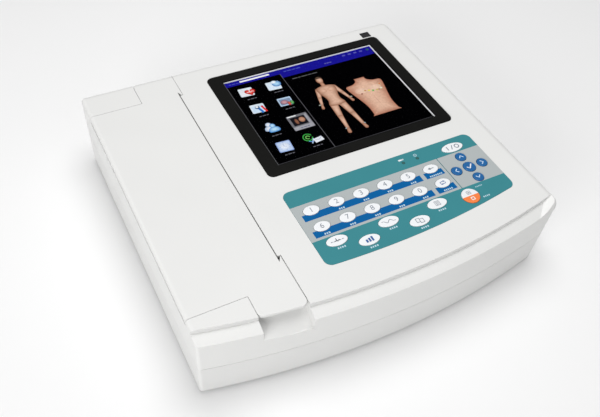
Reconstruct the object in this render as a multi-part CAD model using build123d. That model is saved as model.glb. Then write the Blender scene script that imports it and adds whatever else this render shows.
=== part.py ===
from build123d import *
import math
import os

# Twelve-lead ECG machine: a flat desktop case with a colour screen, a keypad and a paper recorder.
# Millimetres. +Z is up, +X is to the user's right, the user sits on the -Y side.
# The origin is on the table, under the middle of the case.

# ---------------------------------------------------------------- driving dimensions: the case
WIDTH = 352.5           # outside, left wall to right wall
DEPTH = 322.0           # outside, front of the bow to the back wall
TOP = 85.0              # height of the flat top above the table
FOOT = 3.0              # height of the rubber feet
WALL = 2.5              # wall of both mouldings
PART_Z = 40.0           # the two mouldings meet at this height
DRAFT = 1.4             # each wall leans in this much from the top to the bottom
BOW_R = 804.0           # radius of the bowed front
BOW_X = 5.0             # the bow is deepest here
CORNER_R = 9.0          # right-hand corners, seen from above
EDGE_R = 8.0            # soft top edge at the front, right and back
CREASE_R = 3.5          # tight edge of the left wall, which is also the lid's hinge barrel
FOOT_EDGE_R = 1.6       # edge round the underside
SEAM = 0.5              # width and depth of the groove between the two mouldings

LEFT = -WIDTH / 2
RIGHT = WIDTH / 2
FRONT = -DEPTH / 2
BACK = DEPTH / 2
BOW_Y = FRONT + BOW_R
SKIN_Z = TOP - WALL     # underside of the top wall
FLOOR_Z = FOOT + WALL   # upper face of the floor

# the low ledge along the front edge
LEDGE_W = 10.0
STEP_Z = TOP - 4.8      # foot of the step
LEDGE_Z = TOP - 9.0     # outer edge of the ledge
STEP_LEAN = 1.2
RAMP_X = 150.0          # the ledge climbs from here and dies out before the right-hand corner
RAMP_SLOPE = 0.36

# ---------------------------------------------------------------- the paper lid
GAP = 0.4               # seam round the lid
HINGE_X = LEFT + CREASE_R
HINGE_Z = TOP - CREASE_R
LID_FRONT = -120.0
LID_BACK = 127.0
TAB_LEFT = -124.75
TAB_RIGHT = -83.65
SLOT_FRONT = -94.0      # the paper slot is 218 mm long
SLOT_BACK = 124.0
SLOT_X = -87.65         # lid edge at the slot
TEAR_X = -86.65         # tear bar edge at the slot
PIN_R = 1.5
RUNNING = 0.05          # radial clearance of every pin and shaft

# ---------------------------------------------------------------- the recorder
PLATEN_X = -98.6
PLATEN_Z = 71.6
PLATEN_R = 8.0
SHAFT_R = 3.0
MODULE = 0.8
PLATEN_TEETH = 20
IDLER_TEETH = 30
PINION_TEETH = 12
GEAR_FRONT = -111.5
GEAR_W = 5.0
ROLL_X = -141.0
ROLL_Z = 37.0
ROLL_R = 25.0
CORE_R = 9.0
SPINDLE_R = 4.0
PLATE_Y = -104.0        # front face of the recorder's front plate
REAR_PLATE_Y = 132.0
PLATE_T = 1.5
SPINE_X = -71.0         # the plate behind the print head

# ---------------------------------------------------------------- the screen
BEZEL_X = 46.6
BEZEL_Y = 62.05
BEZEL_W = 202.3
BEZEL_D = 150.9
BEZEL_R = 6.0
BEZEL_TOP = TOP + 1.0
VIEW_X = 46.9
VIEW_Y = 62.2
VIEW_W = 173.2
VIEW_D = 127.0
GLASS_T = 1.1

# ---------------------------------------------------------------- the keypad
PAD_LEFT = -54.65
PAD_RIGHT = 147.75
PAD_BACK = -34.8
PAD_APEX = -122.8
PAD_BOW_X = 6.8
PAD_R = 7.0
FILM_TOP = TOP + 0.2
FILM_T = 0.8
KEY_TOP = TOP + 0.9
KEY_GAP = 0.35
BOARD_TOP = 79.0
COLUMN_X = -38.5
COLUMN_PITCH = 25.05
ROW_ONE = -62.0
ROW_TWO = -81.5
PAD_CENTRE = (122.45, -74.3)
OVAL_PITCH = 25.5
OVAL_X = -34.45

os.makedirs("parts", exist_ok=True)
PARTS = {}


# ---------------------------------------------------------------- small helpers
def block(x0, x1, y0, y1, z0, z1):
    """A box between two corners."""
    return Pos((x0 + x1) / 2, (y0 + y1) / 2, (z0 + z1) / 2) * Box(x1 - x0, y1 - y0, z1 - z0)


def post(x, y, z0, z1, r):
    """An upright cylinder."""
    return Pos(x, y, (z0 + z1) / 2) * Cylinder(r, z1 - z0)


def rod_y(x, z, y0, y1, r):
    """A cylinder along Y."""
    return Pos(x, (y0 + y1) / 2, z) * Rot(90, 0, 0) * Cylinder(r, y1 - y0)


def rod_x(y, z, x0, x1, r):
    """A cylinder along X."""
    return Pos((x0 + x1) / 2, y, z) * Rot(0, 90, 0) * Cylinder(r, x1 - x0)


def prism_x(points, x0, x1):
    """An outline of (y, z) points carried from x0 to x1."""
    face = Plane.YZ * make_face(Polyline(*points, close=True))
    return Pos(x0, 0, 0) * extrude(face, amount=x1 - x0, dir=(1, 0, 0))


def prism_y(points, y0, y1):
    """An outline of (x, z) points carried from y0 to y1."""
    face = Plane.XZ * make_face(Polyline(*points, close=True))
    return Pos(0, y0, 0) * extrude(face, amount=y1 - y0, dir=(0, 1, 0))


def prism_z(points):
    """An outline of (x, y) points carried through the whole height of the case's top."""
    return Pos(0, 0, PART_Z) * extrude(make_face(Polyline(*points, close=True)), amount=TOP)


def pad(sketch, z0, z1):
    """A flat sketch given the thickness from z0 to z1."""
    return Pos(0, 0, z0) * extrude(sketch, amount=z1 - z0)


# ---------------------------------------------------------------- the outside of the case
def plan(inset, lean):
    """The case seen from above: three straight sides, a bowed front and round right-hand corners."""
    edge = inset + lean
    over = 30
    box = Pos(0, -over / 2) * Rectangle(WIDTH - 2 * edge, DEPTH - 2 * edge + over)
    disc = Pos(BOW_X, BOW_Y) * Circle(BOW_R - edge)
    shape = box & disc
    right_corners = shape.vertices().sort_by(Axis.X)[-2:]
    return fillet(right_corners, radius=CORNER_R - inset)


def hull(inset):
    """The solid inside the case's skin, moved in by inset all round, with its edges rounded."""
    top = TOP - inset
    bottom = FOOT + inset
    upper = (Pos(0, 0, top) * plan(inset, 0)).faces()[0]
    lower = (Pos(0, 0, bottom) * plan(inset, DRAFT)).faces()[0]
    body = Solid.make_loft([upper.outer_wire(), lower.outer_wire()], ruled=True)
    rim = body.faces().sort_by(Axis.Z)[-1].edges().sort_by(Axis.X)
    body = body.fillet(EDGE_R - inset, rim[1:])
    side = body.faces().sort_by(Axis.X)[0]
    outline = side.edges().filter_by(lambda e: e.center().Z > bottom + 1)
    body = body.fillet(CREASE_R - inset, outline)
    if inset == 0:
        sole = body.faces().sort_by(Axis.Z)[0]
        body = body.fillet(FOOT_EDGE_R, sole.edges())
    return body


def ledge(inset):
    """The low front ledge as a cut: a profile turned about the bow's axis, ramped at its right end."""
    r0 = BOW_R - LEDGE_W - inset
    high = TOP + 20
    profile = [
        (r0, high),
        (r0, STEP_Z - inset),
        (r0 + STEP_LEAN, STEP_Z - inset),
        (BOW_R, LEDGE_Z - inset),
        (BOW_R + 40, LEDGE_Z - 12 - inset),
        (BOW_R + 40, high),
    ]
    face = Plane.XZ * make_face(Polyline(*profile, close=True))
    ring = Pos(BOW_X, BOW_Y, 0) * Rot(0, 0, -106) * revolve(face, Axis.Z, 32)
    far = 300
    ramp_low = LEDGE_Z - inset
    ramp = [
        (RAMP_X, ramp_low),
        (RAMP_X + far, ramp_low + far * RAMP_SLOPE),
        (RAMP_X + far, ramp_low - far),
        (RAMP_X, ramp_low - far),
    ]
    return ring - prism_y(ramp, FRONT - 60, 60)


def scoop(grow, front):
    """The finger scoop under one lid tab, grown by its wall when it is made as a block."""
    if front:
        wall_y, sign, floor_z = -153.3, 1, 63.5
    else:
        wall_y, sign, floor_z = 161.0, -1, 66.0
    far = wall_y - sign * 25
    roof = SKIN_Z - GAP if grow else TOP + 10
    points = [
        (far, floor_z - grow),
        (wall_y + sign * 0.4 * grow, floor_z - grow),
        (wall_y + sign * (15 + 0.8 * grow), floor_z + 11.5 - grow),
        (wall_y + sign * (19 + grow), floor_z + 16 - grow),
        (wall_y + sign * (19 + grow), roof),
        (far, roof),
    ]
    return prism_x(points, TAB_LEFT - GAP - grow, TAB_RIGHT + grow)


OUTSIDE = hull(0) - ledge(0)
INSIDE = hull(WALL) - ledge(WALL)
SHELL = OUTSIDE - INSIDE
GROOVE = pad(plan(SEAM, DRAFT / 2), PART_Z - 2, PART_Z + 2)


# ---------------------------------------------------------------- shapes that several pieces share
def ring_of(outer, inner, z0, z1):
    """A flat frame: one sketch with another cut out of it."""
    return pad(outer - inner, z0, z1)


def rounded(w, d, r, x, y):
    """A round-cornered rectangle on its centre."""
    return Pos(x, y) * RectangleRounded(w, d, r)


def pad_outline(inset):
    """The keypad seen from above: straight at the back and sides, bowed at the front."""
    width = PAD_RIGHT - PAD_LEFT - 2 * inset
    depth = PAD_BACK - PAD_APEX + 20
    x = (PAD_LEFT + PAD_RIGHT) / 2
    box = Pos(x, PAD_BACK - inset - depth / 2) * Rectangle(width, depth)
    disc = Pos(PAD_BOW_X, PAD_APEX + BOW_R) * Circle(BOW_R - inset)
    shape = box & disc
    return fillet(shape.vertices(), radius=PAD_R - inset)


def key_list():
    """Every key: name, centre, and half its width and half its depth."""
    keys = []
    top_row = ["1", "2", "3", "4", "5", "back"]
    low_row = ["6", "7", "8", "9", "0", "function"]
    for y, row in ((ROW_ONE, top_row), (ROW_TWO, low_row)):
        for i, label in enumerate(row):
            keys.append(("key_" + label, COLUMN_X + i * COLUMN_PITCH, y, 7.65, 5.1))
    cx, cy = PAD_CENTRE
    for label, dx, dy in (("up", 0, 14.0), ("down", 0, -14.0), ("left", -14.6, 0), ("right", 14.6, 0)):
        keys.append(("key_" + label, cx + dx, cy + dy, 5.2, 5.2))
    keys.append(("key_enter", cx, cy, 6.1, 6.1))
    keys.append(("key_power", cx, -46.4, 11.7, 5.4))
    for i, label in enumerate(("speed", "sensitivity", "filter", "mode", "print")):
        y = -100.3 if i % 2 == 0 else -110.8
        keys.append(("key_" + label, OVAL_X + i * OVAL_PITCH, y, 9.9, 5.25))
    keys.append(("key_start", 101.05, -105.0, 8.55, 8.55))
    return keys


def oval(x, y, a, b):
    """An ellipse, or a circle where both halves are equal."""
    return Pos(x, y) * (Circle(a) if a == b else Ellipse(a, b))


KEYS = key_list()
LEDS = ((67.75, -45.0), (83.35, -45.0))
LED_R = 1.6
SCREW_POINTS = [(-164, -127), (-164, 147), (-62, -139), (-60, 149), (165, -124), (163, 148)]


def gear(x, z, teeth, phase, y0, y1, bore):
    """A spur wheel about Y. phase is the direction of one tooth, in degrees from +X towards +Z."""
    pitch = MODULE * teeth / 2
    root = pitch - 1.2 * MODULE
    tip = pitch + 0.9 * MODULE
    step = 360 / teeth
    half_root = math.degrees(0.62 * MODULE / root)
    half_tip = math.degrees(0.30 * MODULE / tip)
    points = []
    for i in range(teeth):
        middle = phase + i * step
        for r, off in ((root, -half_root), (tip, -half_tip), (tip, half_tip), (root, half_root)):
            a = math.radians(middle + off)
            points.append((x + r * math.cos(a), z + r * math.sin(a)))
    return prism_y(points, y0, y1) - rod_y(x, z, y0 - 1, y1 + 1, bore)


# ---------------------------------------------------------------- where the gear train lies
PLATEN_GEAR_R = MODULE * PLATEN_TEETH / 2
IDLER_R = MODULE * IDLER_TEETH / 2
PINION_R = MODULE * PINION_TEETH / 2
ARM = math.hypot(PLATEN_X - HINGE_X, PLATEN_Z - HINGE_Z)
# the lid lifts the platen straight away from the idler, so the idler lies behind that motion
LIFT = ((HINGE_Z - PLATEN_Z) / ARM, (PLATEN_X - HINGE_X) / ARM)
MESH_ONE = PLATEN_GEAR_R + IDLER_R + 0.1
IDLER_X = PLATEN_X - LIFT[0] * MESH_ONE
IDLER_Z = PLATEN_Z - LIFT[1] * MESH_ONE
PINION_DIRECTION = -37.0
MESH_TWO = IDLER_R + PINION_R + 0.1
PINION_X = IDLER_X + MESH_TWO * math.cos(math.radians(PINION_DIRECTION))
PINION_Z = IDLER_Z + MESH_TWO * math.sin(math.radians(PINION_DIRECTION))
TOWARDS_IDLER = math.degrees(math.atan2(IDLER_Z - PLATEN_Z, IDLER_X - PLATEN_X))
IDLER_PHASE = TOWARDS_IDLER + 180 + 180 / IDLER_TEETH
OFFSET = (PINION_DIRECTION - IDLER_PHASE) % (360 / IDLER_TEETH)
PINION_PHASE = PINION_DIRECTION + 180 + OFFSET * IDLER_TEETH / PINION_TEETH + 180 / PINION_TEETH


# ---------------------------------------------------------------- upper moulding
SENSOR_X = (133.6, 144.6)
SENSOR_Y = (139.4, 148.2)
LID_TAB_Z = TOP - EDGE_R - 1.0
PAD_POSTS = ((-48, -45), (-48, -91), (104, -58), (104, -90), (30, -44), (54, -118))


def top_cover():
    cover = SHELL & block(LEFT - 5, RIGHT + 5, FRONT - 5, BACK + 5, PART_Z, TOP + 5)
    cover = cover - (block(LEFT - 5, RIGHT + 5, FRONT - 5, BACK + 5, PART_Z - 1, PART_Z + SEAM) - GROOVE)
    for front in (True, False):
        cover = cover + (scoop(2.0, front) & OUTSIDE)
    # bosses for the case screws, and blocks that hold the hinge pins
    for x, y in SCREW_POINTS:
        cover = cover + (post(x, y, PART_Z + 0.02, TOP - 1, 4.2) & OUTSIDE)
    for y0, y1 in ((LID_FRONT - 9, LID_FRONT), (LID_BACK, LID_BACK + 9)):
        cover = cover + (block(LEFT, HINGE_X + 5, y0, y1, HINGE_Z - 6, TOP) & OUTSIDE)
    for front in (True, False):
        cover = cover - scoop(0, front)
    for x, y in PAD_POSTS:
        cover = cover + post(x, y, BOARD_TOP, SKIN_Z + 0.5, 2.6)
    # the lid's opening, with its two tabs, and the step of the left wall below the hinge barrel
    high = TOP + 5
    cover = cover - block(LEFT - 5, TAB_RIGHT, LID_FRONT, LID_BACK, HINGE_Z - CREASE_R - 0.5, high)
    cover = cover - block(TAB_LEFT - GAP, TAB_RIGHT, LID_BACK - 1, BACK + 5, SKIN_Z - GAP, high)
    cover = cover - block(TAB_LEFT - GAP, TAB_RIGHT, FRONT - 5, LID_FRONT + 1, SKIN_Z - GAP, high)
    cover = cover - block(TAB_LEFT - GAP, TAB_RIGHT, BACK - EDGE_R - 4, BACK + 5, LID_TAB_Z - GAP, high)
    for x, y in SCREW_POINTS:
        cover = cover - post(x, y, PART_Z - 1, PART_Z + 16, 1.5)
    for y0, y1 in ((LID_FRONT - 7, LID_FRONT + 1), (LID_BACK - 1, LID_BACK + 7)):
        cover = cover - rod_y(HINGE_X, HINGE_Z, y0, y1, PIN_R)
    # the screen's window and the seat of its frame
    cover = cover - pad(rounded(BEZEL_W + 0.4, BEZEL_D + 0.4, BEZEL_R, BEZEL_X, BEZEL_Y), TOP - 1.4, high)
    cover = cover - block(VIEW_X - 95, VIEW_X + 95, VIEW_Y - 70, VIEW_Y + 70, SKIN_Z - 1, high)
    cover = cover - block(*SENSOR_X, *SENSOR_Y, SKIN_Z - 1, high)
    # the keypad's seat, its key holes and the two lamps
    cover = cover - pad(pad_outline(-0.15), FILM_TOP - FILM_T, high)
    for _, x, y, a, b in KEYS:
        cover = cover - pad(oval(x, y, a + KEY_GAP, b + KEY_GAP), SKIN_Z - 1, high)
    for x, y in LEDS:
        cover = cover - post(x, y, SKIN_Z - 1, high, LED_R + 0.1)
    return cover


PARTS["top_cover"] = top_cover()


# ---------------------------------------------------------------- lower moulding
REAR_Y = BACK - 1.1     # outer face of the back wall at the height of the sockets
SIDE_X = RIGHT - 1.1    # outer face of the right wall at the height of the lead socket
INLET = (112.0, 22.0)
ROCKER = (85.0, 22.0)
EARTH = (56.0, 22.0)
LAN = (10.0, 21.5)
USB = (-16.0, 21.5)
LEAD = (-40.0, 24.0)
BATTERY = (16.0, 96.0, -112.0, -36.0)
BATTERY_TOP = 23.0
SPEAKER = (118.0, -122.0)
SPEAKER_R = 18.0
BOARD_Z = 14.0
BOARD_T = 1.6
MAIN = (-58.0, 10.0, -60.0, 142.0)
POWER = (60.0, 150.0, 30.0, 128.0)
LEADS = (122.0, 165.0, -95.0, 10.0)
BOARDS = (MAIN, POWER, LEADS)
CASE_TOP = PART_Z - 0.02


def wall_hole(x, z, half_w, half_h):
    """A rectangular cut-out in the back wall."""
    return block(x - half_w, x + half_w, BACK - 8, BACK + 5, z - half_h, z + half_h)


def bottom_case():
    case = SHELL & block(LEFT - 5, RIGHT + 5, FRONT - 5, BACK + 5, FOOT - 1, CASE_TOP)
    for x, y in SCREW_POINTS:
        case = case + post(x, y, FLOOR_Z - 1, CASE_TOP, 4.2)
    for x0, x1, y0, y1 in BOARDS:
        for x in (x0 + 4, x1 - 4):
            for y in (y0 + 4, y1 - 4):
                case = case + post(x, y, FLOOR_Z - 1, BOARD_Z, 3)
    # the battery's well and its way out through the floor
    x0, x1, y0, y1 = BATTERY
    case = case + block(x0 - 2, x1 + 2, y0 - 2, y1 + 2, FLOOR_Z - 1, BATTERY_TOP + 1)
    case = case - block(x0, x1, y0, y1, 0, BATTERY_TOP + 5)
    for x, y in SCREW_POINTS:
        case = case - post(x, y, 0, PART_Z + 1, 1.7)
        case = case - post(x, y, 0, FOOT + 3, 3.2)
    # cut-outs in the back wall
    case = case - wall_hole(*INLET, 14, 10.2)
    case = case - wall_hole(*ROCKER, 9.6, 6.6)
    case = case - rod_y(*EARTH, BACK - 8, BACK + 5, 6.5)
    case = case - wall_hole(*LAN, 8.3, 7)
    case = case - wall_hole(*USB, 7.3, 8.2)
    # the lead socket in the right wall
    y, z = LEAD
    case = case - block(RIGHT - 8, RIGHT + 5, y - 12.8, y + 12.8, z - 4.5, z + 4.5)
    # the flat seats that the sockets' flanges lie in
    case = case - block(ROCKER[0] - 11, INLET[0] + 20.2, REAR_Y, BACK + 5, INLET[1] - 12.7, INLET[1] + 12.7)
    case = case - rod_y(*EARTH, REAR_Y, BACK + 5, 7.8)
    case = case - block(SIDE_X, RIGHT + 5, y - 19.7, y + 19.7, z - 6.4, z + 6.4)
    # the speaker's slots in the floor, and cooling slots in the back wall
    for i in range(-3, 4):
        x = SPEAKER[0] + 4.4 * i
        reach = math.sqrt(15 ** 2 - (4.4 * i) ** 2)
        case = case - block(x - 0.9, x + 0.9, SPEAKER[1] - reach, SPEAKER[1] + reach, 0, FLOOR_Z + 1)
    for i in range(9):
        case = case - wall_hole(-150 + 6 * i, 22, 1.2, 10)
    return case


PARTS["bottom_case"] = bottom_case()


def case_screws():
    screws = []
    for x, y in SCREW_POINTS:
        head = post(x, y, FOOT + 0.8, FOOT + 3, 2.8) - post(x, y, FOOT, FOOT + 2, 1.1)
        screws.append(head + post(x, y, FOOT + 3, PART_Z + 12, 1.45))
    return Compound(screws)


def rubber_feet():
    feet = []
    for x, y in ((-150, -128), (150, -128), (-150, 143), (150, 143)):
        foot = post(x, y, 0, FOOT, 9)
        feet.append(chamfer(foot.edges().group_by(Axis.Z)[0], 0.8))
    return Compound(feet)


PARTS["case_screws"] = case_screws()
PARTS["rubber_feet"] = rubber_feet()


# ---------------------------------------------------------------- the battery
def battery_cover():
    x0, x1, y0, y1 = BATTERY
    cover = block(x0 + 0.3, x1 - 0.3, y0 + 0.3, y1 - 0.3, FOOT + 0.1, FLOOR_Z - 0.2)
    x = (x0 + x1) / 2
    for i in range(5):
        y = y0 + 10 + 2.4 * i
        cover = cover - block(x - 10, x + 10, y, y + 1.2, FOOT - 1, FOOT + 0.7)
    return cover


def battery_pack():
    x0, x1, y0, y1 = BATTERY
    pack = block(x0 + 1, x1 - 1, y0 + 1, y1 - 1, FLOOR_Z, BATTERY_TOP)
    return fillet(pack.edges(), 2)


PARTS["battery_cover"] = battery_cover()
PARTS["battery_pack"] = battery_pack()


# ---------------------------------------------------------------- the paper lid
CHEEK_FRONT = (-98.2, -95.8)
CHEEK_REAR = (125.8, 128.2)
BOSS_R = 6.0


def paper_lid():
    high = TOP + 5
    inner_front = LID_FRONT + GAP
    inner_back = LID_BACK - GAP
    right = TAB_RIGHT - GAP
    plate = block(HINGE_X, SLOT_X, inner_front, inner_back, SKIN_Z, TOP)
    plate = plate + (block(TAB_LEFT, right, FRONT - 5, SLOT_FRONT - GAP, SKIN_Z, high) & OUTSIDE)
    plate = plate + (block(TAB_LEFT, right, SLOT_BACK + GAP, BACK + 5, SKIN_Z, high) & OUTSIDE)
    wrap_y = BACK - EDGE_R - 4 + GAP
    plate = plate + (block(TAB_LEFT, right, wrap_y, BACK + 5, LID_TAB_Z, high) & SHELL)
    # the slot's ends run out to the seam at an angle
    corner = [(SLOT_X, SLOT_FRONT - 6), (right + 1, SLOT_FRONT + 2), (SLOT_X, SLOT_FRONT + 2)]
    plate = plate - prism_z(corner)
    plate = plate - prism_z([(SLOT_X, SLOT_BACK + 6), (right + 1, SLOT_BACK - 2), (SLOT_X, SLOT_BACK - 2)])
    # the rear tab narrows towards the back edge
    plate = plate - prism_z([(TAB_LEFT - 1, BACK - 18), (TAB_LEFT + 2, BACK + 1), (TAB_LEFT - 1, BACK + 1)])
    corners = plate.edges().filter_by(Axis.Z).filter_by(lambda e: e.center().Y < -135)
    plate = plate.fillet(5.0, corners)
    front_rim = plate.edges().filter_by(lambda e: e.center().Y < -130 and e.center().Z > TOP - 0.1)
    plate = plate.fillet(0.8, front_rim)
    lid = plate + rod_y(HINGE_X, HINGE_Z, inner_front, inner_back, CREASE_R)
    # cheeks that carry the platen, and stiffening ribs
    for y0, y1 in (CHEEK_FRONT, CHEEK_REAR):
        cheek = block(PLATEN_X - 7, PLATEN_X + 5, y0, y1, PLATEN_Z, SKIN_Z + 1)
        lid = lid + cheek + rod_y(PLATEN_X, PLATEN_Z, y0, y1, BOSS_R)
        lid = lid - rod_y(PLATEN_X, PLATEN_Z, y0 - 1, y1 + 1, SHAFT_R + RUNNING)
    for i in range(7):
        y = -90 + 34 * i
        lid = lid + block(HINGE_X + 8, PLATEN_X - 14, y, y + 1.6, SKIN_Z - 4, SKIN_Z + 0.5)
    for y0, y1 in ((inner_front - 1, inner_front + 8), (inner_back - 8, inner_back + 1)):
        lid = lid - rod_y(HINGE_X, HINGE_Z, y0, y1, PIN_R + RUNNING)
    return lid


def hinge_pins():
    front = rod_y(HINGE_X, HINGE_Z, LID_FRONT - 7, LID_FRONT + GAP + 7, PIN_R)
    rear = rod_y(HINGE_X, HINGE_Z, LID_BACK - GAP - 7, LID_BACK + 7, PIN_R)
    return Compound([front, rear])


PARTS["paper_lid"] = paper_lid()
PARTS["hinge_pins"] = hinge_pins()


# ---------------------------------------------------------------- the platen and its gear train
SHAFT_ENDS = (-112.5, 134.5)
RUBBER = (SLOT_FRONT - 1, SLOT_BACK + 1)
GEAR_BACK = GEAR_FRONT + GEAR_W
PARTS["platen_shaft"] = rod_y(PLATEN_X, PLATEN_Z, *SHAFT_ENDS, SHAFT_R)
PARTS["platen_rubber"] = rod_y(PLATEN_X, PLATEN_Z, *RUBBER, PLATEN_R) - rod_y(
    PLATEN_X, PLATEN_Z, RUBBER[0] - 1, RUBBER[1] + 1, SHAFT_R
)
PARTS["platen_gear"] = gear(
    PLATEN_X, PLATEN_Z, PLATEN_TEETH, TOWARDS_IDLER, GEAR_FRONT, GEAR_BACK, SHAFT_R
)
AXLE_R = 2.0
PARTS["idler_gear"] = gear(
    IDLER_X, IDLER_Z, IDLER_TEETH, IDLER_PHASE, GEAR_FRONT, GEAR_BACK, AXLE_R + RUNNING
)
MOTOR_SHAFT = (GEAR_FRONT - 1, PLATE_Y + 11)
PARTS["motor_pinion"] = gear(
    PINION_X, PINION_Z, PINION_TEETH, PINION_PHASE, GEAR_FRONT, GEAR_BACK, AXLE_R / 2
) + rod_y(PINION_X, PINION_Z, *MOTOR_SHAFT, AXLE_R)
MOTOR_R = 14.0
MOTOR_FACE = PLATE_Y + PLATE_T
PARTS["paper_motor"] = rod_y(PINION_X, PINION_Z, MOTOR_FACE, MOTOR_FACE + 29, MOTOR_R) - rod_y(
    PINION_X, PINION_Z, MOTOR_FACE - 1, MOTOR_SHAFT[1] + 1, AXLE_R + RUNNING
)


# ---------------------------------------------------------------- the print head and its frame
NIP_ANGLE = 15.0
NIP_GAP = 0.25
HEAD = (SLOT_FRONT, SLOT_BACK)


def at_nip(solid):
    """Turns a solid drawn with its +X away from the platen's centre into place at the nip."""
    return Pos(PLATEN_X, 0, PLATEN_Z) * Rot(0, NIP_ANGLE, 0) * solid


FACE = PLATEN_R + NIP_GAP


def print_head():
    """The ceramic print line bonded to its finned heat sink."""
    sink = block(FACE + 0.9, FACE + 6, *HEAD, -12, 6) + block(FACE, FACE + 1, *HEAD, -10, 5)
    for i in range(4):
        z = -11 + 4.4 * i
        sink = sink - block(FACE + 3.5, FACE + 7, HEAD[0] - 1, HEAD[1] + 1, z + 1.2, z + 3.2)
    return at_nip(sink)


def head_springs():
    springs = []
    for i in range(4):
        y = HEAD[0] + 22 + 58 * i
        coil = Helix(pitch=1.9, height=9.0, radius=2.6)
        wire = Plane(coil @ 0, z_dir=coil % 0) * Circle(0.4)
        spring = Pos(FACE + 6.5, y, -3) * Rot(0, 90, 0) * sweep(wire, path=coil)
        springs.append(at_nip(spring))
    return Compound(springs)


def print_frame():
    low, high = FLOOR_Z, 78.0
    left, right = -108.0, SPINE_X + PLATE_T
    front = block(left, right, PLATE_Y, PLATE_Y + PLATE_T, low, high)
    rear = block(left, right, REAR_PLATE_Y, REAR_PLATE_Y + PLATE_T, low, high)
    spine = block(SPINE_X, right, PLATE_Y, REAR_PLATE_Y + PLATE_T, low, high)
    rail = at_nip(block(FACE + 16.2, FACE + 18.2, *HEAD, -7.5, 1.5))
    shelf = block(SPINE_X - 5.5, SPINE_X, *HEAD, 60.6, 62.2)
    frame = front + rear + spine + rail + shelf
    # notches that the platen's shaft drops into as the lid shuts
    for y in (PLATE_Y, REAR_PLATE_Y):
        notch = block(PLATEN_X - 3.6, PLATEN_X + 4.4, y - 1, y + PLATE_T + 1, PLATEN_Z - 3.6, high + 5)
        frame = frame - notch
    frame = frame - rod_y(PINION_X, PINION_Z, PLATE_Y - 1, PLATE_Y + 3, AXLE_R + 0.6)
    return frame + rod_y(IDLER_X, IDLER_Z, GEAR_FRONT - 1, PLATE_Y + 0.5, AXLE_R)


PARTS["print_head"] = print_head()
PARTS["head_springs"] = head_springs()
PARTS["print_frame"] = print_frame()
PARTS["tear_bar"] = block(TEAR_X, TAB_RIGHT, *HEAD, SKIN_Z - 2, TOP) + block(
    TEAR_X, TAB_RIGHT + 4, *HEAD, SKIN_Z - 2, SKIN_Z - 0.05
)


# ---------------------------------------------------------------- the paper and its tray
TRAY_LEFT = LEFT + WALL + DRAFT + 0.6
TRAY_RIGHT = -109.0
TRAY_FRONT = -101.0
TRAY_BACK = 130.5
ROLL = (-93.0, 123.0)


def paper_tray():
    tray = block(TRAY_LEFT, TRAY_RIGHT, TRAY_FRONT, TRAY_BACK, FLOOR_Z, FLOOR_Z + 2)
    tray = tray + block(TRAY_RIGHT - 2, TRAY_RIGHT, TRAY_FRONT, TRAY_BACK, FLOOR_Z, 56)
    for y in (TRAY_FRONT, TRAY_BACK - 2):
        end = block(TRAY_LEFT, TRAY_RIGHT, y, y + 2, FLOOR_Z, 58)
        end = end - rod_y(ROLL_X, ROLL_Z, y - 1, y + 3, SPINDLE_R + 0.1)
        end = end - block(ROLL_X - 4.1, ROLL_X + 4.1, y - 1, y + 3, ROLL_Z, 60)
        tray = tray + end
    return tray


def paper_roll():
    return rod_y(ROLL_X, ROLL_Z, *ROLL, ROLL_R) - rod_y(ROLL_X, ROLL_Z, ROLL[0] - 1, ROLL[1] + 1, CORE_R)


def roll_spindle():
    spindle = rod_y(ROLL_X, ROLL_Z, TRAY_FRONT, TRAY_BACK, SPINDLE_R)
    for y0, y1 in ((ROLL[0] - 4, ROLL[0] + 10), (ROLL[1] - 10, ROLL[1] + 4)):
        spindle = spindle + rod_y(ROLL_X, ROLL_Z, y0, y1, CORE_R)
    return spindle


PARTS["paper_tray"] = paper_tray()
PARTS["paper_roll"] = paper_roll()
PARTS["roll_spindle"] = roll_spindle()


# ---------------------------------------------------------------- the screen
GLASS_TOP = TOP - 1.5
GASKET_TOP = TOP - 0.6


def view(grow):
    """The lit picture's rectangle, grown all round."""
    return Pos(VIEW_X, VIEW_Y) * Rectangle(VIEW_W + 2 * grow, VIEW_D + 2 * grow)


def screen_bezel():
    outer = rounded(BEZEL_W, BEZEL_D, BEZEL_R, BEZEL_X, BEZEL_Y)
    bezel = ring_of(outer, view(3.2), TOP - 1.4, GASKET_TOP)
    bezel = bezel + ring_of(outer, view(0.9), GASKET_TOP, BEZEL_TOP)
    rim = bezel.edges().group_by(Axis.Z)[-1]
    return bezel.chamfer(0.5, None, rim)


PARTS["screen_bezel"] = screen_bezel()
PARTS["screen_gasket"] = ring_of(view(3.0), view(0.0), GLASS_TOP, GASKET_TOP)
PARTS["touch_panel"] = pad(view(5.0), GLASS_TOP - GLASS_T, GLASS_TOP)
PARTS["lcd_module"] = pad(view(7.0), GLASS_TOP - GLASS_T - 8, GLASS_TOP - GLASS_T)
PARTS["sensor_window"] = block(
    SENSOR_X[0] + 0.15, SENSOR_X[1] - 0.15, SENSOR_Y[0] + 0.15, SENSOR_Y[1] - 0.15, SKIN_Z, TOP + 0.2
)


# ---------------------------------------------------------------- the keypad
FLANGE = 1.2
FLANGE_TOP = SKIN_Z - 0.3
FLANGE_T = 1.1
DOME_H = 0.7


def keypad_film():
    film = pad(pad_outline(0), FILM_TOP - FILM_T, FILM_TOP)
    for _, x, y, a, b in KEYS:
        film = film - pad(oval(x, y, a + KEY_GAP, b + KEY_GAP), TOP - 3, TOP + 3)
    for x, y in LEDS:
        film = film - post(x, y, TOP - 3, TOP + 3, LED_R + 0.1)
    return film


def keypad_board():
    """The board under the keys, with a switch dome below each one."""
    solid = pad(pad_outline(2.5), BOARD_TOP - BOARD_T, BOARD_TOP)
    for _, x, y, _, _ in KEYS:
        solid = solid + post(x, y, BOARD_TOP - 0.5, BOARD_TOP + DOME_H, 2.5)
    return solid


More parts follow.
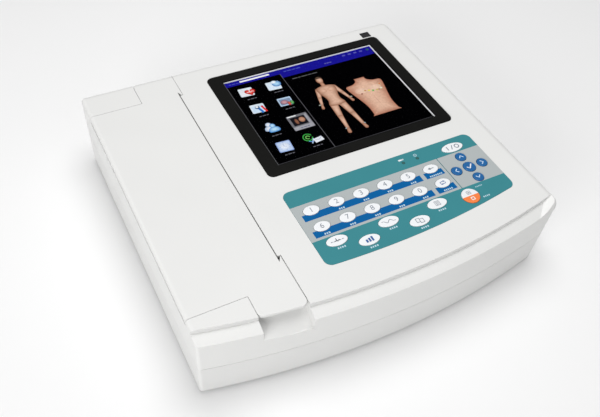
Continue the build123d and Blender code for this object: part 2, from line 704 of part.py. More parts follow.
def key(x, y, a, b):
    cap = pad(oval(x, y, a, b), FLANGE_TOP - FLANGE_T, KEY_TOP)
    cap = cap.fillet(0.5, cap.edges().group_by(Axis.Z)[-1])
    return cap + pad(oval(x, y, a + FLANGE, b + FLANGE), FLANGE_TOP - FLANGE_T, FLANGE_TOP)


PARTS["keypad_film"] = keypad_film()
for name, x, y, a, b in KEYS:
    PARTS[name] = key(x, y, a, b)
PARTS["keypad_board"] = keypad_board()
PARTS["indicator_leds"] = Compound([post(x, y, BOARD_TOP, FILM_TOP + 0.1, LED_R) for x, y in LEDS])


# ---------------------------------------------------------------- the boards
def board(area, lumps):
    """A circuit board with its taller components, each lump (x0, x1, y0, y1, height)."""
    solid = block(*area, BOARD_Z, BOARD_Z + BOARD_T)
    for x0, x1, y0, y1, height in lumps:
        solid = solid + block(x0, x1, y0, y1, BOARD_Z + BOARD_T - 0.1, BOARD_Z + BOARD_T + height)
    return solid


# ---------------------------------------------------------------- sockets in the back wall
def socket(x, z, half_w, half_h, depth, flange_w, flange_h):
    """A rectangular body behind the wall, with a thin flange that lies on it."""
    body = block(x - half_w, x + half_w, BACK - depth, REAR_Y, z - half_h, z + half_h)
    return body + block(x - flange_w, x + flange_w, REAR_Y, BACK, z - flange_h, z + flange_h)


def mains_inlet():
    """The inlet and the switch's frame, one moulding."""
    x, z = INLET
    body = socket(x, z, 13.8, 10, 24, 20, 12.5)
    cavity = block(x - 12.3, x + 12.3, BACK - 17, BACK + 1, z - 8.3, z + 8.3)
    body = body - cavity
    for dx, dz in ((-7, -1.5), (7, -1.5), (0, 2.5)):
        body = body + block(x + dx - 1, x + dx + 1, BACK - 18, BACK - 4, z + dz - 2, z + dz + 2)
    x, z = ROCKER
    body = body + socket(x, z, 9.4, 6.4, 16, 10.8, 7.8)
    return body - block(x - 8, x + 8, BACK - 14, BACK + 1, z - 5.4, z + 5.4)


def switch_rocker():
    x, z = ROCKER
    y = ROCKER_Y
    outline = [
        (y, z - ROCKER_BARREL_R),
        (y + 4.6, z - 4.5),
        (y + 3.6, z),
        (y + 4.6, z + 4.5),
        (y, z + ROCKER_BARREL_R),
    ]
    barrel = rod_x(y, z, x - ROCKER_HALF_W, x + ROCKER_HALF_W, ROCKER_BARREL_R)
    rocker = prism_x(outline, x - ROCKER_HALF_W, x + ROCKER_HALF_W) + barrel
    return Pos(0, y, z) * Rot(ROCKER_TILT, 0, 0) * Pos(0, -y, -z) * rocker


def earth_socket():
    x, z = EARTH
    cup = rod_y(x, z, REAR_Y - 10, REAR_Y, 6.4) + rod_y(x, z, REAR_Y, BACK, 7.6)
    cup = cup - rod_y(x, z, REAR_Y - 8, BACK + 1, 5.2)
    return cup + rod_y(x, z, REAR_Y - 9, BACK - 1.5, 2.9)


def data_sockets():
    """The network jack and the pair of memory-stick jacks on the main board's edge."""
    x, z = LAN
    jacks = block(x - 8.1, x + 8.1, BACK - 20, BACK - 0.3, z - 6.8, z + 6.8)
    jacks = jacks - block(x - 5.9, x + 5.9, BACK - 13, BACK + 1, z - 4.6, z + 3.6)
    x, z = USB
    jacks = jacks + block(x - 7.1, x + 7.1, BACK - 20, BACK - 0.3, z - 6.8, z + 8)
    for dz in (-3.4, 4):
        slot = block(x - 6.2, x + 6.2, BACK - 12, BACK + 1, z + dz - 2.6, z + dz + 2.6)
        jacks = jacks - slot + block(x - 5.6, x + 5.6, BACK - 13, BACK - 2, z + dz + 0.2, z + dz + 1.9)
    return jacks


def lead_socket():
    """The fifteen-way patient lead socket on the lead board's edge."""
    y, z = LEAD
    body = block(RIGHT - 14, SIDE_X, y - 12.5, y + 12.5, z - 4.2, z + 4.2)
    body = body + block(RIGHT - 14, RIGHT - 8, y - 12.5, y + 12.5, BOARD_Z + BOARD_T - 0.1, z)
    body = body + block(SIDE_X, RIGHT, y - 19.5, y + 19.5, z - 6.2, z + 6.2)
    for row, count in ((1.4, 8), (-1.4, 7)):
        for i in range(count):
            pin_y = y + (i - (count - 1) / 2) * 2.77
            body = body - rod_x(pin_y, z + row, RIGHT - 5, RIGHT + 1, 0.6)
    return body


ROCKER_Y = BACK - 5.6
ROCKER_TILT = -7.0
ROCKER_BARREL_R = 2.5
ROCKER_HALF_W = 7.8
PARTS["mains_inlet"] = mains_inlet()
PARTS["switch_rocker"] = switch_rocker()
PARTS["earth_socket"] = earth_socket()
PARTS["main_board"] = board(
    MAIN,
    (
        (-40, -16, 20, 44, 2.2),
        (-10, 2, 24, 40, 1.4),
        (-46, -28, 60, 76, 1.6),
        (-20, -6, 66, 80, 1.6),
        (-50, -20, -50, -44, 7.0),
        (-12, 0, -46, -20, 5.0),
        (-46, -34, 90, 102, 8.0),
        (-30, -18, 90, 102, 8.0),
        (-50, -12, 124, 131, 6.0),
    ),
) + data_sockets()
PARTS["power_board"] = board(
    POWER,
    (
        (68, 92, 60, 86, 20.0),
        (98, 118, 96, 118, 18.0),
        (124, 142, 92, 116, 20.0),
        (100, 140, 40, 46, 16.0),
        (100, 112, 60, 84, 14.0),
        (118, 140, 60, 78, 12.0),
    ),
)
PARTS["lead_board"] = board(
    LEADS,
    ((128, 158, -84, -62, 9.0), (128, 150, -52, -10, 9.0), (128, 148, -6, 4, 5.0)),
) + lead_socket()
PARTS["speaker"] = post(*SPEAKER, FLOOR_Z, FLOOR_Z + 4, SPEAKER_R) + post(
    *SPEAKER, FLOOR_Z + 3, FLOOR_Z + 11, 12
)

for name, solid in PARTS.items():
    export_step(solid, f"parts/{name}.step")
print(len(PARTS), "nodes")
print("idler", round(IDLER_X, 3), round(IDLER_Z, 3), "pinion", round(PINION_X, 3), round(PINION_Z, 3))
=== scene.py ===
import math

import bpy
import numpy as np
from bpy.props import FloatProperty, FloatVectorProperty, PointerProperty
from mathutils import Matrix, Vector


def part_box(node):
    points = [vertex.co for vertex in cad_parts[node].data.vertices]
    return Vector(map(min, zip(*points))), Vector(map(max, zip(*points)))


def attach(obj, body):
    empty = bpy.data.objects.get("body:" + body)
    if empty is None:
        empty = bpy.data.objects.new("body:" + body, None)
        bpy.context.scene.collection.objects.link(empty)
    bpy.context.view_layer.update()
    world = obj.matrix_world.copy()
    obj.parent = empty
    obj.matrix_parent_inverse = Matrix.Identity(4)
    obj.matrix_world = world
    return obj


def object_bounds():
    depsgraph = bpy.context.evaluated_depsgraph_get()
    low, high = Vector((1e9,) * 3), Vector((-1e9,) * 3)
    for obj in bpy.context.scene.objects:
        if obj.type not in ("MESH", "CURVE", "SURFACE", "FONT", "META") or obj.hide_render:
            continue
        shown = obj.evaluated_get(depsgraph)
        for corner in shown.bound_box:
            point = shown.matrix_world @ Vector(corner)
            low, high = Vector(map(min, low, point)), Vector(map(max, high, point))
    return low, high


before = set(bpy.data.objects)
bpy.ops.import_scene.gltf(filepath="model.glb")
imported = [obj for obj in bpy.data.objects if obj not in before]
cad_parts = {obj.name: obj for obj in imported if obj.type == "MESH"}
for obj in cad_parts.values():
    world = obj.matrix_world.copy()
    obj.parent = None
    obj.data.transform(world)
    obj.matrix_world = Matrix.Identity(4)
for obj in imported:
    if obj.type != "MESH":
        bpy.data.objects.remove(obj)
CAD_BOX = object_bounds()

bl_info = {
    "name": "ECG machine looks",
    "version": (1, 0, 0),
    "blender": (4, 5, 0),
    "location": "View3D > Sidebar > ECG machine",
    "description": "Finishes, printed keypad and lit screen of a desktop ECG machine",
    "category": "Object",
}

MM = 0.001
PRINT_LAYER = 0.02 * MM     # thickness of one layer of printing ink
SCREEN_LAYER = 0.05 * MM    # step between two layers of the lit picture
GASKET_RIM = 3.0            # the gasket's opening lies this far inside its outer edge, in mm
CURVE_STEPS = 28            # straight edges in a drawn ellipse
LABEL = (1.4, 1.2, 1.5)     # widths of the dashes that stand for a word on the film, in mm
LABEL_HEIGHT = 1.8
LABEL_SPACE = 0.7
LABEL_DROP = 1.95           # a label's middle lies this far in front of its bar's middle
OVAL_LABEL_DROP = 7.6       # an oval key's label lies this far in front of the key's middle
DOME_SHARES = (1.0, 1.0, 0.93, 0.8, 0.62, 0.42, 0.2)    # how wide a dome is at each of its rings

# inks, as linear red, green and blue
WHITE = (0.86, 0.88, 0.90)
PALE = (0.50, 0.68, 0.76)
GREY = (0.22, 0.25, 0.30)
NAVY = (0.02, 0.10, 0.32)
ICON_PALE = (0.62, 0.78, 0.95)
RED = (0.75, 0.03, 0.03)
GREEN = (0.05, 0.42, 0.07)
YELLOW = (0.85, 0.62, 0.06)
BLACK = (0.0, 0.0, 0.0002)
LINE = (0.09, 0.09, 0.10)
TITLE_BLUE = (0.010, 0.008, 0.30)
SKIN_DARK = (0.30, 0.13, 0.075)
SKIN = (0.56, 0.30, 0.20)
SKIN_LIGHT = (0.76, 0.48, 0.35)
CREAM = (0.95, 0.90, 0.85)

# the printed keypad film, in mm: how far its band and bars reach past the middles of their keys
BAND_BEHIND = 9.0
BAND_IN_FRONT = 12.5
NUMBER_BAR_LEFT = 10.7
NUMBER_BAR_RIGHT = 10.8
EDIT_BAR_LEFT = 10.2
EDIT_BAR_RIGHT = 9.8
DIVIDER_SHIFT = 2.4     # the dark line lies this far right of halfway between the edit and arrow keys
DIVIDER_HALF = 0.35     # half the line's width

# chart paper: pitch and line width of its fine and its heavy grid, in mm
FINE_GRID = (1.0, 0.14)
HEAVY_GRID = (5.0, 0.30)

# the studio, in metres: the floor's reach and its squares along a side, then size and place of each lamp
FLOOR_REACH = 3.0
FLOOR_SQUARES = 8
KEY_LAMP_SIZE = (0.9, 0.9)
KEY_LAMP_PLACE = (0.08, 0.12, 1.40)
FILL_LAMP_SIZE = (1.4, 0.8)
FILL_LAMP_PLACE = (-1.75, -1.25, 0.85)

# the camera: its place, and the ways of its right side, its top and its back
CAMERA_PLACE = (-0.25555, -0.39404, 0.53508)
CAMERA_RIGHT = (0.88639, -0.45788, 0.06823)
CAMERA_UP = (0.30473, 0.68804, 0.65859)
CAMERA_BACK = (-0.34850, -0.56298, 0.74940)

# sockets of a Mix node that is set to colour: share, first and second colour, and its result
MIX_SHARE, MIX_FIRST, MIX_SECOND, MIX_RESULT = 0, 6, 7, 2

# gloss of lacquered silicone rubber
SILICONE = {"Specular_IOR_Level": 0.35, "Coat_Weight": 0.15, "Coat_Roughness": 0.3}

NUMBER_KEYS = [f"key_{digit}" for digit in range(10)]
ARROW_KEYS = {"key_up": 90, "key_left": 180, "key_down": 270, "key_right": 0}
OVAL_KEYS = ["key_speed", "key_sensitivity", "key_filter", "key_mode", "key_print"]
WHITE_KEYS = NUMBER_KEYS + OVAL_KEYS + ["key_back", "key_function", "key_power"]
BLUE_KEYS = list(ARROW_KEYS) + ["key_enter"]


# ---------------------------------------------------------------- places read from the frame
def centre(node):
    """Middle of a CAD node's box, in millimetres."""
    low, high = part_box(node)
    return (low + high) / 2 / MM


def box_mm(node):
    """Low and high corner of a CAD node's box, in millimetres."""
    low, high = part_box(node)
    return low / MM, high / MM


def top_of(node):
    """Height of a CAD node's highest point, in metres."""
    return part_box(node)[1].z


def body_of_key(node):
    """The moving body that carries a key."""
    return node.replace("key_", "press_")


# ---------------------------------------------------------------- sizes and colours
class CaseLook(bpy.types.PropertyGroup):
    """Colours of the case and its frame."""

    upper: FloatVectorProperty(
        name="Upper case", description="Colour of the top cover and the lid", subtype="COLOR",
        default=(0.765, 0.765, 0.753), min=0.0, max=1.0)
    lower: FloatVectorProperty(
        name="Lower case", description="Colour of the bottom case and the battery cover", subtype="COLOR",
        default=(0.74, 0.74, 0.73), min=0.0, max=1.0)
    grain: FloatProperty(
        name="Grain", description="Width of one grain of the moulded texture", unit="LENGTH",
        default=0.0006, min=0.0001, max=0.005)
    bezel: FloatVectorProperty(
        name="Bezel", description="Colour of the screen's frame", subtype="COLOR",
        default=(0.0066, 0.0066, 0.0060), min=0.0, max=1.0)


class KeypadLook(bpy.types.PropertyGroup):
    """Colours and sizes of the printed film and its keys."""

    teal: FloatVectorProperty(
        name="Teal", description="Ground colour of the keypad film", subtype="COLOR",
        default=(0.047, 0.238, 0.270), min=0.0, max=1.0)
    band: FloatVectorProperty(
        name="Band", description="Grey band behind the number keys", subtype="COLOR",
        default=(0.425, 0.458, 0.462), min=0.0, max=1.0)
    bar: FloatVectorProperty(
        name="Bar", description="Blue bars and blue keys", subtype="COLOR",
        default=(0.001, 0.110, 0.330), min=0.0, max=1.0)
    start: FloatVectorProperty(
        name="Start", description="Front half of the start key", subtype="COLOR",
        default=(0.93, 0.22, 0.045), min=0.0, max=1.0)
    key: FloatVectorProperty(
        name="Key", description="White keys", subtype="COLOR",
        default=(0.84, 0.86, 0.88), min=0.0, max=1.0)
    bar_depth: FloatProperty(
        name="Bar depth", description="Front-to-back size of a blue bar", unit="LENGTH",
        default=0.0073, min=0.002, max=0.02)
    bar_offset: FloatProperty(
        name="Bar offset", description="How far a bar's middle lies in front of its row of keys",
        unit="LENGTH", default=0.00635, min=0.0, max=0.02)
    digit: FloatProperty(
        name="Digit size", description="Type size of the numbers", unit="LENGTH",
        default=0.0076, min=0.002, max=0.02)


class ScreenLook(bpy.types.PropertyGroup):
    """Light and grid of the lit panel."""

    light: FloatProperty(
        name="Light", description="Strength of the lit picture", default=1.05, min=0.0, max=5.0)
    cell: FloatProperty(
        name="Cell", description="Pitch of the panel's grid of cells", unit="LENGTH",
        default=0.00022, min=0.0001, max=0.002)


class StudioLook(bpy.types.PropertyGroup):
    """Strength of the lights, and the camera's lens."""

    sky: FloatProperty(
        name="Sky", description="Strength of the even white surround", default=0.34, min=0.0, max=5.0)
    key: FloatProperty(
        name="Key", description="Power of the soft lamp overhead, a little behind and to the right",
        unit="POWER", default=12.1, min=0.0, max=500.0)
    fill: FloatProperty(
        name="Fill", description="Power of the low panel to the left and in front, which lights the walls",
        unit="POWER", default=25.0, min=0.0, max=500.0)
    lens: FloatProperty(
        name="Lens", description="Focal length", unit="CAMERA", default=41.75, min=10.0, max=200.0)


# ---------------------------------------------------------------- shader formulas
class Term:
    """One socket in a formula. Arithmetic on it adds Math nodes, so 1 - mask works as written."""

    def __init__(self, tree, socket):
        self.tree = tree
        self.socket = socket

    def math(self, operation, *others):
        """Any Math node, with this socket first and the others after it."""
        node = self.tree.nodes.new("ShaderNodeMath")
        node.operation = operation
        for socket, value in zip(node.inputs, (self, *others)):
            feed(self.tree, socket, value)
        return Term(self.tree, node.outputs[0])

    def __add__(self, other):
        return self.math("ADD", other)

    def __sub__(self, other):
        return self.math("SUBTRACT", other)

    def __rsub__(self, other):
        return self * -1.0 + other

    def __mul__(self, other):
        return self.math("MULTIPLY", other)

    def __truediv__(self, other):
        return self.math("DIVIDE", other)

    def __gt__(self, other):
        return self.math("GREATER_THAN", other)

    def __lt__(self, other):
        return self.math("LESS_THAN", other)


def feed(tree, socket, value):
    """Gives a socket a link, a number or a colour."""
    if isinstance(value, Term):
        tree.links.new(value.socket, socket)
    elif isinstance(value, (tuple, list)) and len(value) == 3 and len(socket.default_value) == 4:
        socket.default_value = (*value, 1.0)
    else:
        socket.default_value = value


class Finish:
    """One material: a Principled shader with constants on its own sockets, and patterns that feed it."""

    def __init__(self, name, **constants):
        self.material = bpy.data.materials.new(name)
        self.material.use_nodes = True
        self.tree = self.material.node_tree
        self.shader = self.tree.nodes["Principled BSDF"]
        self.place = self.node("TexCoord", out="Object")
        self.set(**constants)

    def set(self, **values):
        """Sets the shader's sockets; an underscore in a name stands for a space."""
        for name, value in values.items():
            feed(self.tree, self.shader.inputs[name.replace("_", " ")], value)

    def node(self, kind, settings=(), out=0, **values):
        """Adds a node of any type: its settings first, then the values or links of its sockets."""
        node = self.tree.nodes.new("ShaderNode" + kind)
        for name, value in dict(settings).items():
            setattr(node, name, value)
        for name, value in values.items():
            feed(self.tree, node.inputs[name.replace("_", " ")], value)
        return Term(self.tree, node.outputs[out])

    def axes(self):
        """The object's own X, Y and Z, in millimetres."""
        split = self.tree.nodes.new("ShaderNodeSeparateXYZ")
        feed(self.tree, split.inputs[0], self.place)
        return [Term(self.tree, split.outputs[axis]) * (1 / MM) for axis in "XYZ"]

    def mix(self, share, first, second):
        """Colour that goes from first to second as share goes from 0 to 1."""
        node = self.tree.nodes.new("ShaderNodeMix")
        node.data_type = "RGBA"
        for socket, value in ((MIX_SHARE, share), (MIX_FIRST, first), (MIX_SECOND, second)):
            feed(self.tree, node.inputs[socket], value)
        return Term(self.tree, node.outputs[MIX_RESULT])

    def noise(self, size, detail=2.0):
        """Cloudy noise from 0 to 1 whose lumps are about size metres across."""
        return self.node("TexNoise", Vector=self.place, Scale=1 / size, Detail=detail)

    def bump(self, height, depth, strength=1.0):
        """Raises the surface by height times depth metres."""
        normal = self.node("Bump", Height=height, Distance=depth, Strength=strength)
        self.set(Normal=normal)


def shade(colour, factor):
    """A colour made darker or lighter."""
    return tuple(min(1.0, channel * factor) for channel in colour)


def paint(finish, *nodes):
    """Puts a finish on carried-over CAD nodes."""
    for name in nodes:
        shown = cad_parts[name]
        if not shown.material_slots:
            shown.data.materials.append(None)
        for slot in shown.material_slots:
            slot.material = finish.material


def moulded(name, colour, grain, roughness=0.42, relief=0.5, spread=0.035, **constants):
    """Moulded plastic: fine spark-eroded grain, slow drift in tone, and roughness that varies a little.
    The spread is how far the colour goes to either side of its middle."""
    finish = Finish(name, **constants)
    drift = finish.noise(0.06, 1.0)
    fine = finish.noise(grain, 3.0)
    tone = drift * 0.6 + fine * 0.4
    finish.set(Base_Color=finish.mix(tone, shade(colour, 1 - spread), shade(colour, 1 + spread)))
    finish.set(Roughness=fine * 0.12 + (roughness - 0.06))
    finish.bump(fine, 0.02 * MM, relief)
    return finish


def metal(name, colour, roughness, stretch=(1.0, 40.0, 40.0)):
    """Drawn or brushed metal: noise stretched along one axis gives the lines."""
    finish = Finish(name, Metallic=1.0)
    along = finish.node("Mapping", Vector=finish.place, Scale=stretch)
    lines = finish.node("TexNoise", Vector=along, Scale=60.0, Detail=4.0)
    finish.set(Base_Color=finish.mix(lines, shade(colour, 0.85), shade(colour, 1.08)))
    finish.set(Roughness=lines * 0.25 + (roughness - 0.12))
    finish.bump(lines, 0.01 * MM, 0.4)
    return finish


# ---------------------------------------------------------------- outlines, in millimetres
def ellipse(x, y, a, b, start=0.0, stop=360.0):
    """Points of an ellipse with half axes a and b, or of the piece of it between two angles."""
    turn = np.radians(np.linspace(start, stop, CURVE_STEPS, endpoint=stop - start < 360))
    return np.column_stack([x + a * np.cos(turn), y + b * np.sin(turn)])


def plate(x, y, w, d, r=0.0):
    """A rectangle about (x, y), its corners rounded with radius r by quarter turns."""
    if r == 0.0:
        return np.array([x, y]) + np.array([(-w, -d), (w, -d), (w, d), (-w, d)]) / 2
    turn = np.radians(np.arange(7.5, 360, 15))
    way = np.column_stack([np.cos(turn), np.sin(turn)])
    return np.array([x, y]) + np.sign(way) * (np.array([w, d]) / 2 - r) + way * r


def band(points, width):
    """A line drawn with a pen: its points moved half the width to each side, square at the ends."""
    line = np.array(points, float)
    way = np.gradient(line, axis=0)
    way = way / np.linalg.norm(way, axis=1)[:, None]
    side = np.column_stack([-way[:, 1], way[:, 0]]) * width / 2
    return np.vstack([line - side, (line + side)[::-1]])


def limb(start, stop, r0, r1):
    """A tapered limb: two round ends of radius r0 and r1 joined by straight sides."""
    p, q = np.array(start, float), np.array(stop, float)
    lean = math.atan2(q[1] - p[1], q[0] - p[0])
    turn = np.linspace(0, math.pi, CURVE_STEPS // 2)
    far = q + r1 * np.column_stack([np.cos(lean + turn - math.pi / 2), np.sin(lean + turn - math.pi / 2)])
    near = p + r0 * np.column_stack([np.cos(lean + turn + math.pi / 2), np.sin(lean + turn + math.pi / 2)])
    return np.vstack([far, near])


def smooth(points, steps=5):
    """A closed curve through the points: each span is the Catmull-Rom cubic of its four neighbours."""
    p = np.array(points, float)
    before, after, beyond = np.roll(p, 1, 0), np.roll(p, -1, 0), np.roll(p, -2, 0)
    t = (np.arange(steps) / steps)[None, :, None]
    p, before, after, beyond = (a[:, None, :] for a in (p, before, after, beyond))
    curve = 0.5 * (2 * p + (after - before) * t + (2 * before - 5 * p + 4 * after - beyond) * t ** 2
                   + (3 * p - before - 3 * after + beyond) * t ** 3)
    return curve.reshape(-1, 2)


def turned(outline, x, y, degrees):
    """An outline turned about the origin and then moved to (x, y)."""
    a = math.radians(degrees)
    spin = np.array([(math.cos(a), math.sin(a)), (-math.sin(a), math.cos(a))])
    return np.array(outline, float) @ spin + (x, y)


class Artwork:
    """Thin shapes gathered into one mesh. Layer n of a shape is n steps above the ground it lies on."""

    def __init__(self, ground, step):
        self.ground = ground
        self.step = step
        self.points = []
        self.inks = []
        self.faces = []
        self.count = 0

    def keep(self, points, inks, faces):
        """Adds points in metres, an ink for each, and faces that count from the first of these points."""
        self.points.append(points)
        self.inks.append(inks)
        self.faces.extend([[i + self.count for i in face] for face in faces])
        self.count += len(points)

    def rings(self, outline, shares, heights, inks, middle):
        """Rings that shrink from the outline towards middle by each share, at each height, joined by
        quads, with one face closing the first ring below and one closing the last above."""
        x, y = outline.T
        if np.sum(x * np.roll(y, -1) - y * np.roll(x, -1)) < 0:
            outline = outline[::-1]
            middle = middle[::-1] if middle.ndim == 2 else middle
        flat = middle + (outline[None] - middle) * np.array(shares)[:, None, None]
        n, m = flat.shape[:2]
        z = np.broadcast_to(np.array(heights)[:, None, None], (n, m, 1))
        points = np.concatenate([flat * MM, z], axis=2).reshape(-1, 3)
        level, around = np.meshgrid(np.arange(n - 1), np.arange(m), indexing="ij")
        here, beside = level * m + around, level * m + (around + 1) % m
        faces = np.stack([here, beside, beside + m, here + m], 2).reshape(-1, 4).tolist()
        faces.append(list(range(m))[::-1])
        faces.append(list(range((n - 1) * m, n * m)))
        self.keep(points, np.repeat(np.array(inks, float), m, axis=0), faces)

    def flat(self, outline, ink, layer=1):
        """A flat shape with straight sides."""
        outline = np.array(outline, float)
        heights = (self.ground - self.step, self.ground + self.step * layer)
        self.rings(outline, (1.0, 1.0), heights, (ink, ink), outline.mean(0))

    def dome(self, outline, dark, light, layer, rise, middle=None):
        """A rounded form: its height is a quarter circle from rim to middle, and its ink goes from
        dark at the rim to light in the middle."""
        outline = np.array(outline, float)
        middle = outline.mean(0) if middle is None else middle
        share = np.array(DOME_SHARES)
        base = self.ground + self.step * layer
        heights = base + rise * MM * np.sqrt(1 - share ** 2)
        heights[0] = self.ground - self.step
        tone = (1 - share ** 2)[:, None]
        inks = np.array(dark) * (1 - tone) + np.array(light) * tone
        self.rings(outline, share, heights, inks, middle)

    def ring(self, x, y, r, width, ink, layer=1, start=0.0, stop=360.0):
        """A round pen line, drawn as two half arcs."""
        half = (start + stop) / 2
        for a, b in ((start, half), (half, stop)):
            self.flat(band(ellipse(x, y, r, r, a, b), width), ink, layer)

    def number(self, digits, x, y, size, ink, layer=1):
        """A number set in plain type about (x, y)."""
        curve = bpy.data.curves.new("type", "FONT")
        curve.body = digits
        curve.size = size
        curve.align_x = "CENTER"
        curve.align_y = "CENTER"
        curve.extrude = self.step * (layer + 1) / 2
        maker = bpy.data.objects.new("type", curve)
        bpy.context.scene.collection.objects.link(maker)
        bpy.context.view_layer.update()
        mesh = bpy.data.meshes.new_from_object(maker.evaluated_get(bpy.context.evaluated_depsgraph_get()))
        points = np.zeros(len(mesh.vertices) * 3)
        mesh.vertices.foreach_get("co", points)
        points = points.reshape(-1, 3) + (x * MM, y * MM, self.ground + self.step * (layer - 1) / 2)
        faces = [list(face.vertices) for face in mesh.polygons]
        self.keep(points, np.tile(ink, (len(points), 1)), faces)
        bpy.data.objects.remove(maker)
        bpy.data.curves.remove(curve)
        bpy.data.meshes.remove(mesh)

    def dashes(self, x, y, widths, height, ink, layer=1, space=0.8):
        """Short dashes in a row about (x, y), where a label would stand."""
        left = x - (sum(widths) + space * (len(widths) - 1)) / 2
        for width in widths:
            self.flat(plate(left + width / 2, y, width, height, height * 0.25), ink, layer)
            left += width + space

    def build(self, name, body, material):
        """Makes the mesh object, with its inks in a colour attribute, riding on a body."""
        mesh = bpy.data.meshes.new(name)
        mesh.from_pydata(np.vstack(self.points).tolist(), [], self.faces)
        inks = np.vstack(self.inks)
        store = mesh.color_attributes.new("ink", "FLOAT_COLOR", "POINT")
        store.data.foreach_set("color", np.column_stack([inks, np.ones(len(inks))]).ravel())
        mesh.materials.append(material)
        mesh.update()
        made = bpy.data.objects.new(name, mesh)
        bpy.context.scene.collection.objects.link(made)
        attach(made, body)
        return made


def printed_ink():
    """Screen-printed ink, its colour from the shape's own attribute, a little uneven in tone and gloss.
    It is made once and shared by the keys and the film."""
    if "printed_ink" in bpy.data.materials:
        return bpy.data.materials["printed_ink"]
    finish = Finish("printed_ink")
    ink = finish.node("Attribute", {"attribute_name": "ink"}, "Color")
    fine = finish.noise(0.5 * MM)
    darker = finish.node("HueSaturation", Color=ink, Value=0.9)
    finish.set(Base_Color=finish.mix(fine, darker, ink), Roughness=fine * 0.1 + 0.4)
    return finish.material


# ---------------------------------------------------------------- finishes of the case
def finish_case(look):
    """White mouldings, the charcoal bezel and the small parts set in the top."""
    white = moulded("case_white", look.upper, look.grain, Specular_IOR_Level=0.3)
    paint(white, "top_cover", "paper_lid", "tear_bar")
    lower = moulded("case_lower_white", look.lower, look.grain, Specular_IOR_Level=0.3)
    paint(lower, "bottom_case", "battery_cover")
    bezel = moulded("bezel_charcoal", look.bezel, 0.9 * MM, 0.5, 1.0, 0.8, Specular_IOR_Level=0.06)
    paint(bezel, "screen_bezel")
    smoked = Finish("smoked_window", Specular_IOR_Level=0.3, Coat_Weight=0.3)
    cloud = smoked.noise(4 * MM)
    smoked.set(Base_Color=smoked.mix(cloud, (0.006, 0.006, 0.007), (0.016, 0.016, 0.018)))
    smoked.set(Roughness=cloud * 0.1 + 0.15)
    paint(smoked, "sensor_window")
    rubber = moulded("feet_rubber", (0.02, 0.02, 0.02), 0.5 * MM, 0.75, 1.0)
    paint(rubber, "rubber_feet")


# ---------------------------------------------------------------- finishes of the keypad
def inside(x, y, x0, x1, y0, y1):
    """1 inside a rectangle and 0 outside it, for shader terms x and y."""
    return (x > x0) * (x < x1) * (y > y0) * (y < y1)


def film_finish(look):
    """Printed polyester film: teal ground, grey band, blue bars under the number keys and a dark divider.
    Every edge is a product of comparisons on the film's own X and Y."""
    film = Finish("keypad_film", Specular_IOR_Level=0.06)
    x, y, _ = film.axes()
    low, high = box_mm("keypad_film")
    row_one, row_two = centre("key_1").y, centre("key_6").y
    first, last = centre("key_1").x, centre("key_5").x
    extra = centre("key_back").x
    divider = (extra + centre("key_left").x) / 2 + DIVIDER_SHIFT
    half = look.bar_depth / MM / 2
    shift = look.bar_offset / MM
    band_back, band_front = row_one + BAND_BEHIND, row_two - BAND_IN_FRONT
    fine = film.noise(0.35 * MM, 3.0)
    drift = film.noise(30 * MM, 1.0)
    teal = film.mix(drift * 0.6 + fine * 0.4, shade(look.teal, 0.93), shade(look.teal, 1.07))
    grey = film.mix(fine, shade(look.band, 0.96), shade(look.band, 1.04))
    blue = film.mix(fine, shade(look.bar, 0.94), shade(look.bar, 1.06))
    colour = film.mix(inside(x, y, low.x, high.x, band_front, band_back), teal, grey)
    for row in (row_one, row_two):
        front, back = row - shift - half, row - shift + half
        bars = inside(x, y, first - NUMBER_BAR_LEFT, last + NUMBER_BAR_RIGHT, front, back)
        bars = bars + inside(x, y, extra - EDIT_BAR_LEFT, extra + EDIT_BAR_RIGHT, front, back)
        colour = film.mix(bars, colour, blue)
    line = inside(x, y, divider - DIVIDER_HALF, divider + DIVIDER_HALF, band_front, band_back)
    colour = film.mix(line, colour, shade(look.teal, 0.6))
    film.set(Base_Color=colour, Roughness=fine * 0.1 + 0.42)
    film.bump(fine, 0.01 * MM, 0.4)
    return film


def silicone(name, colour):
    """Dyed silicone rubber with a lacquered top: very fine grain and a soft, slightly darker drift."""
    finish = Finish(name, **SILICONE)
    fine = finish.noise(0.3 * MM, 2.0)
    drift = finish.noise(7 * MM, 1.0)
    finish.set(Base_Color=finish.mix(drift * 0.5 + fine * 0.5, shade(colour, 0.95), shade(colour, 1.04)))
    finish.set(Roughness=fine * 0.1 + 0.4)
    finish.bump(fine, 0.01 * MM, 0.5)
    return finish


def start_key_finish(look):
    """The start key's two colours: white behind its middle line and orange in front of it."""
    finish = Finish("start_key", **SILICONE)
    _, y, _ = finish.axes()
    fine = finish.noise(0.3 * MM, 2.0)
    front = y < centre("key_start").y
    colour = finish.mix(front, tuple(look.key), tuple(look.start))
    darker = finish.mix(front, shade(look.key, 0.94), shade(look.start, 0.94))
    finish.set(Base_Color=finish.mix(fine, darker, colour), Roughness=fine * 0.1 + 0.4)
    finish.bump(fine, 0.01 * MM, 0.5)
    return finish


def finish_keypad(look):
    """Film, keys and lamps."""
    paint(film_finish(look), "keypad_film")
    paint(silicone("white_key", look.key), *WHITE_KEYS)
    paint(silicone("blue_key", look.bar), *BLUE_KEYS)
    paint(start_key_finish(look), "key_start")
    lamp = Finish("lamp_lens", Specular_IOR_Level=0.5, Coat_Weight=0.4)
    glow = lamp.noise(1.2 * MM)
    lamp.set(Base_Color=lamp.mix(glow, (0.010, 0.075, 0.075), (0.03, 0.14, 0.13)), Roughness=glow * 0.1 + 0.2)
    paint(lamp, "indicator_leds")


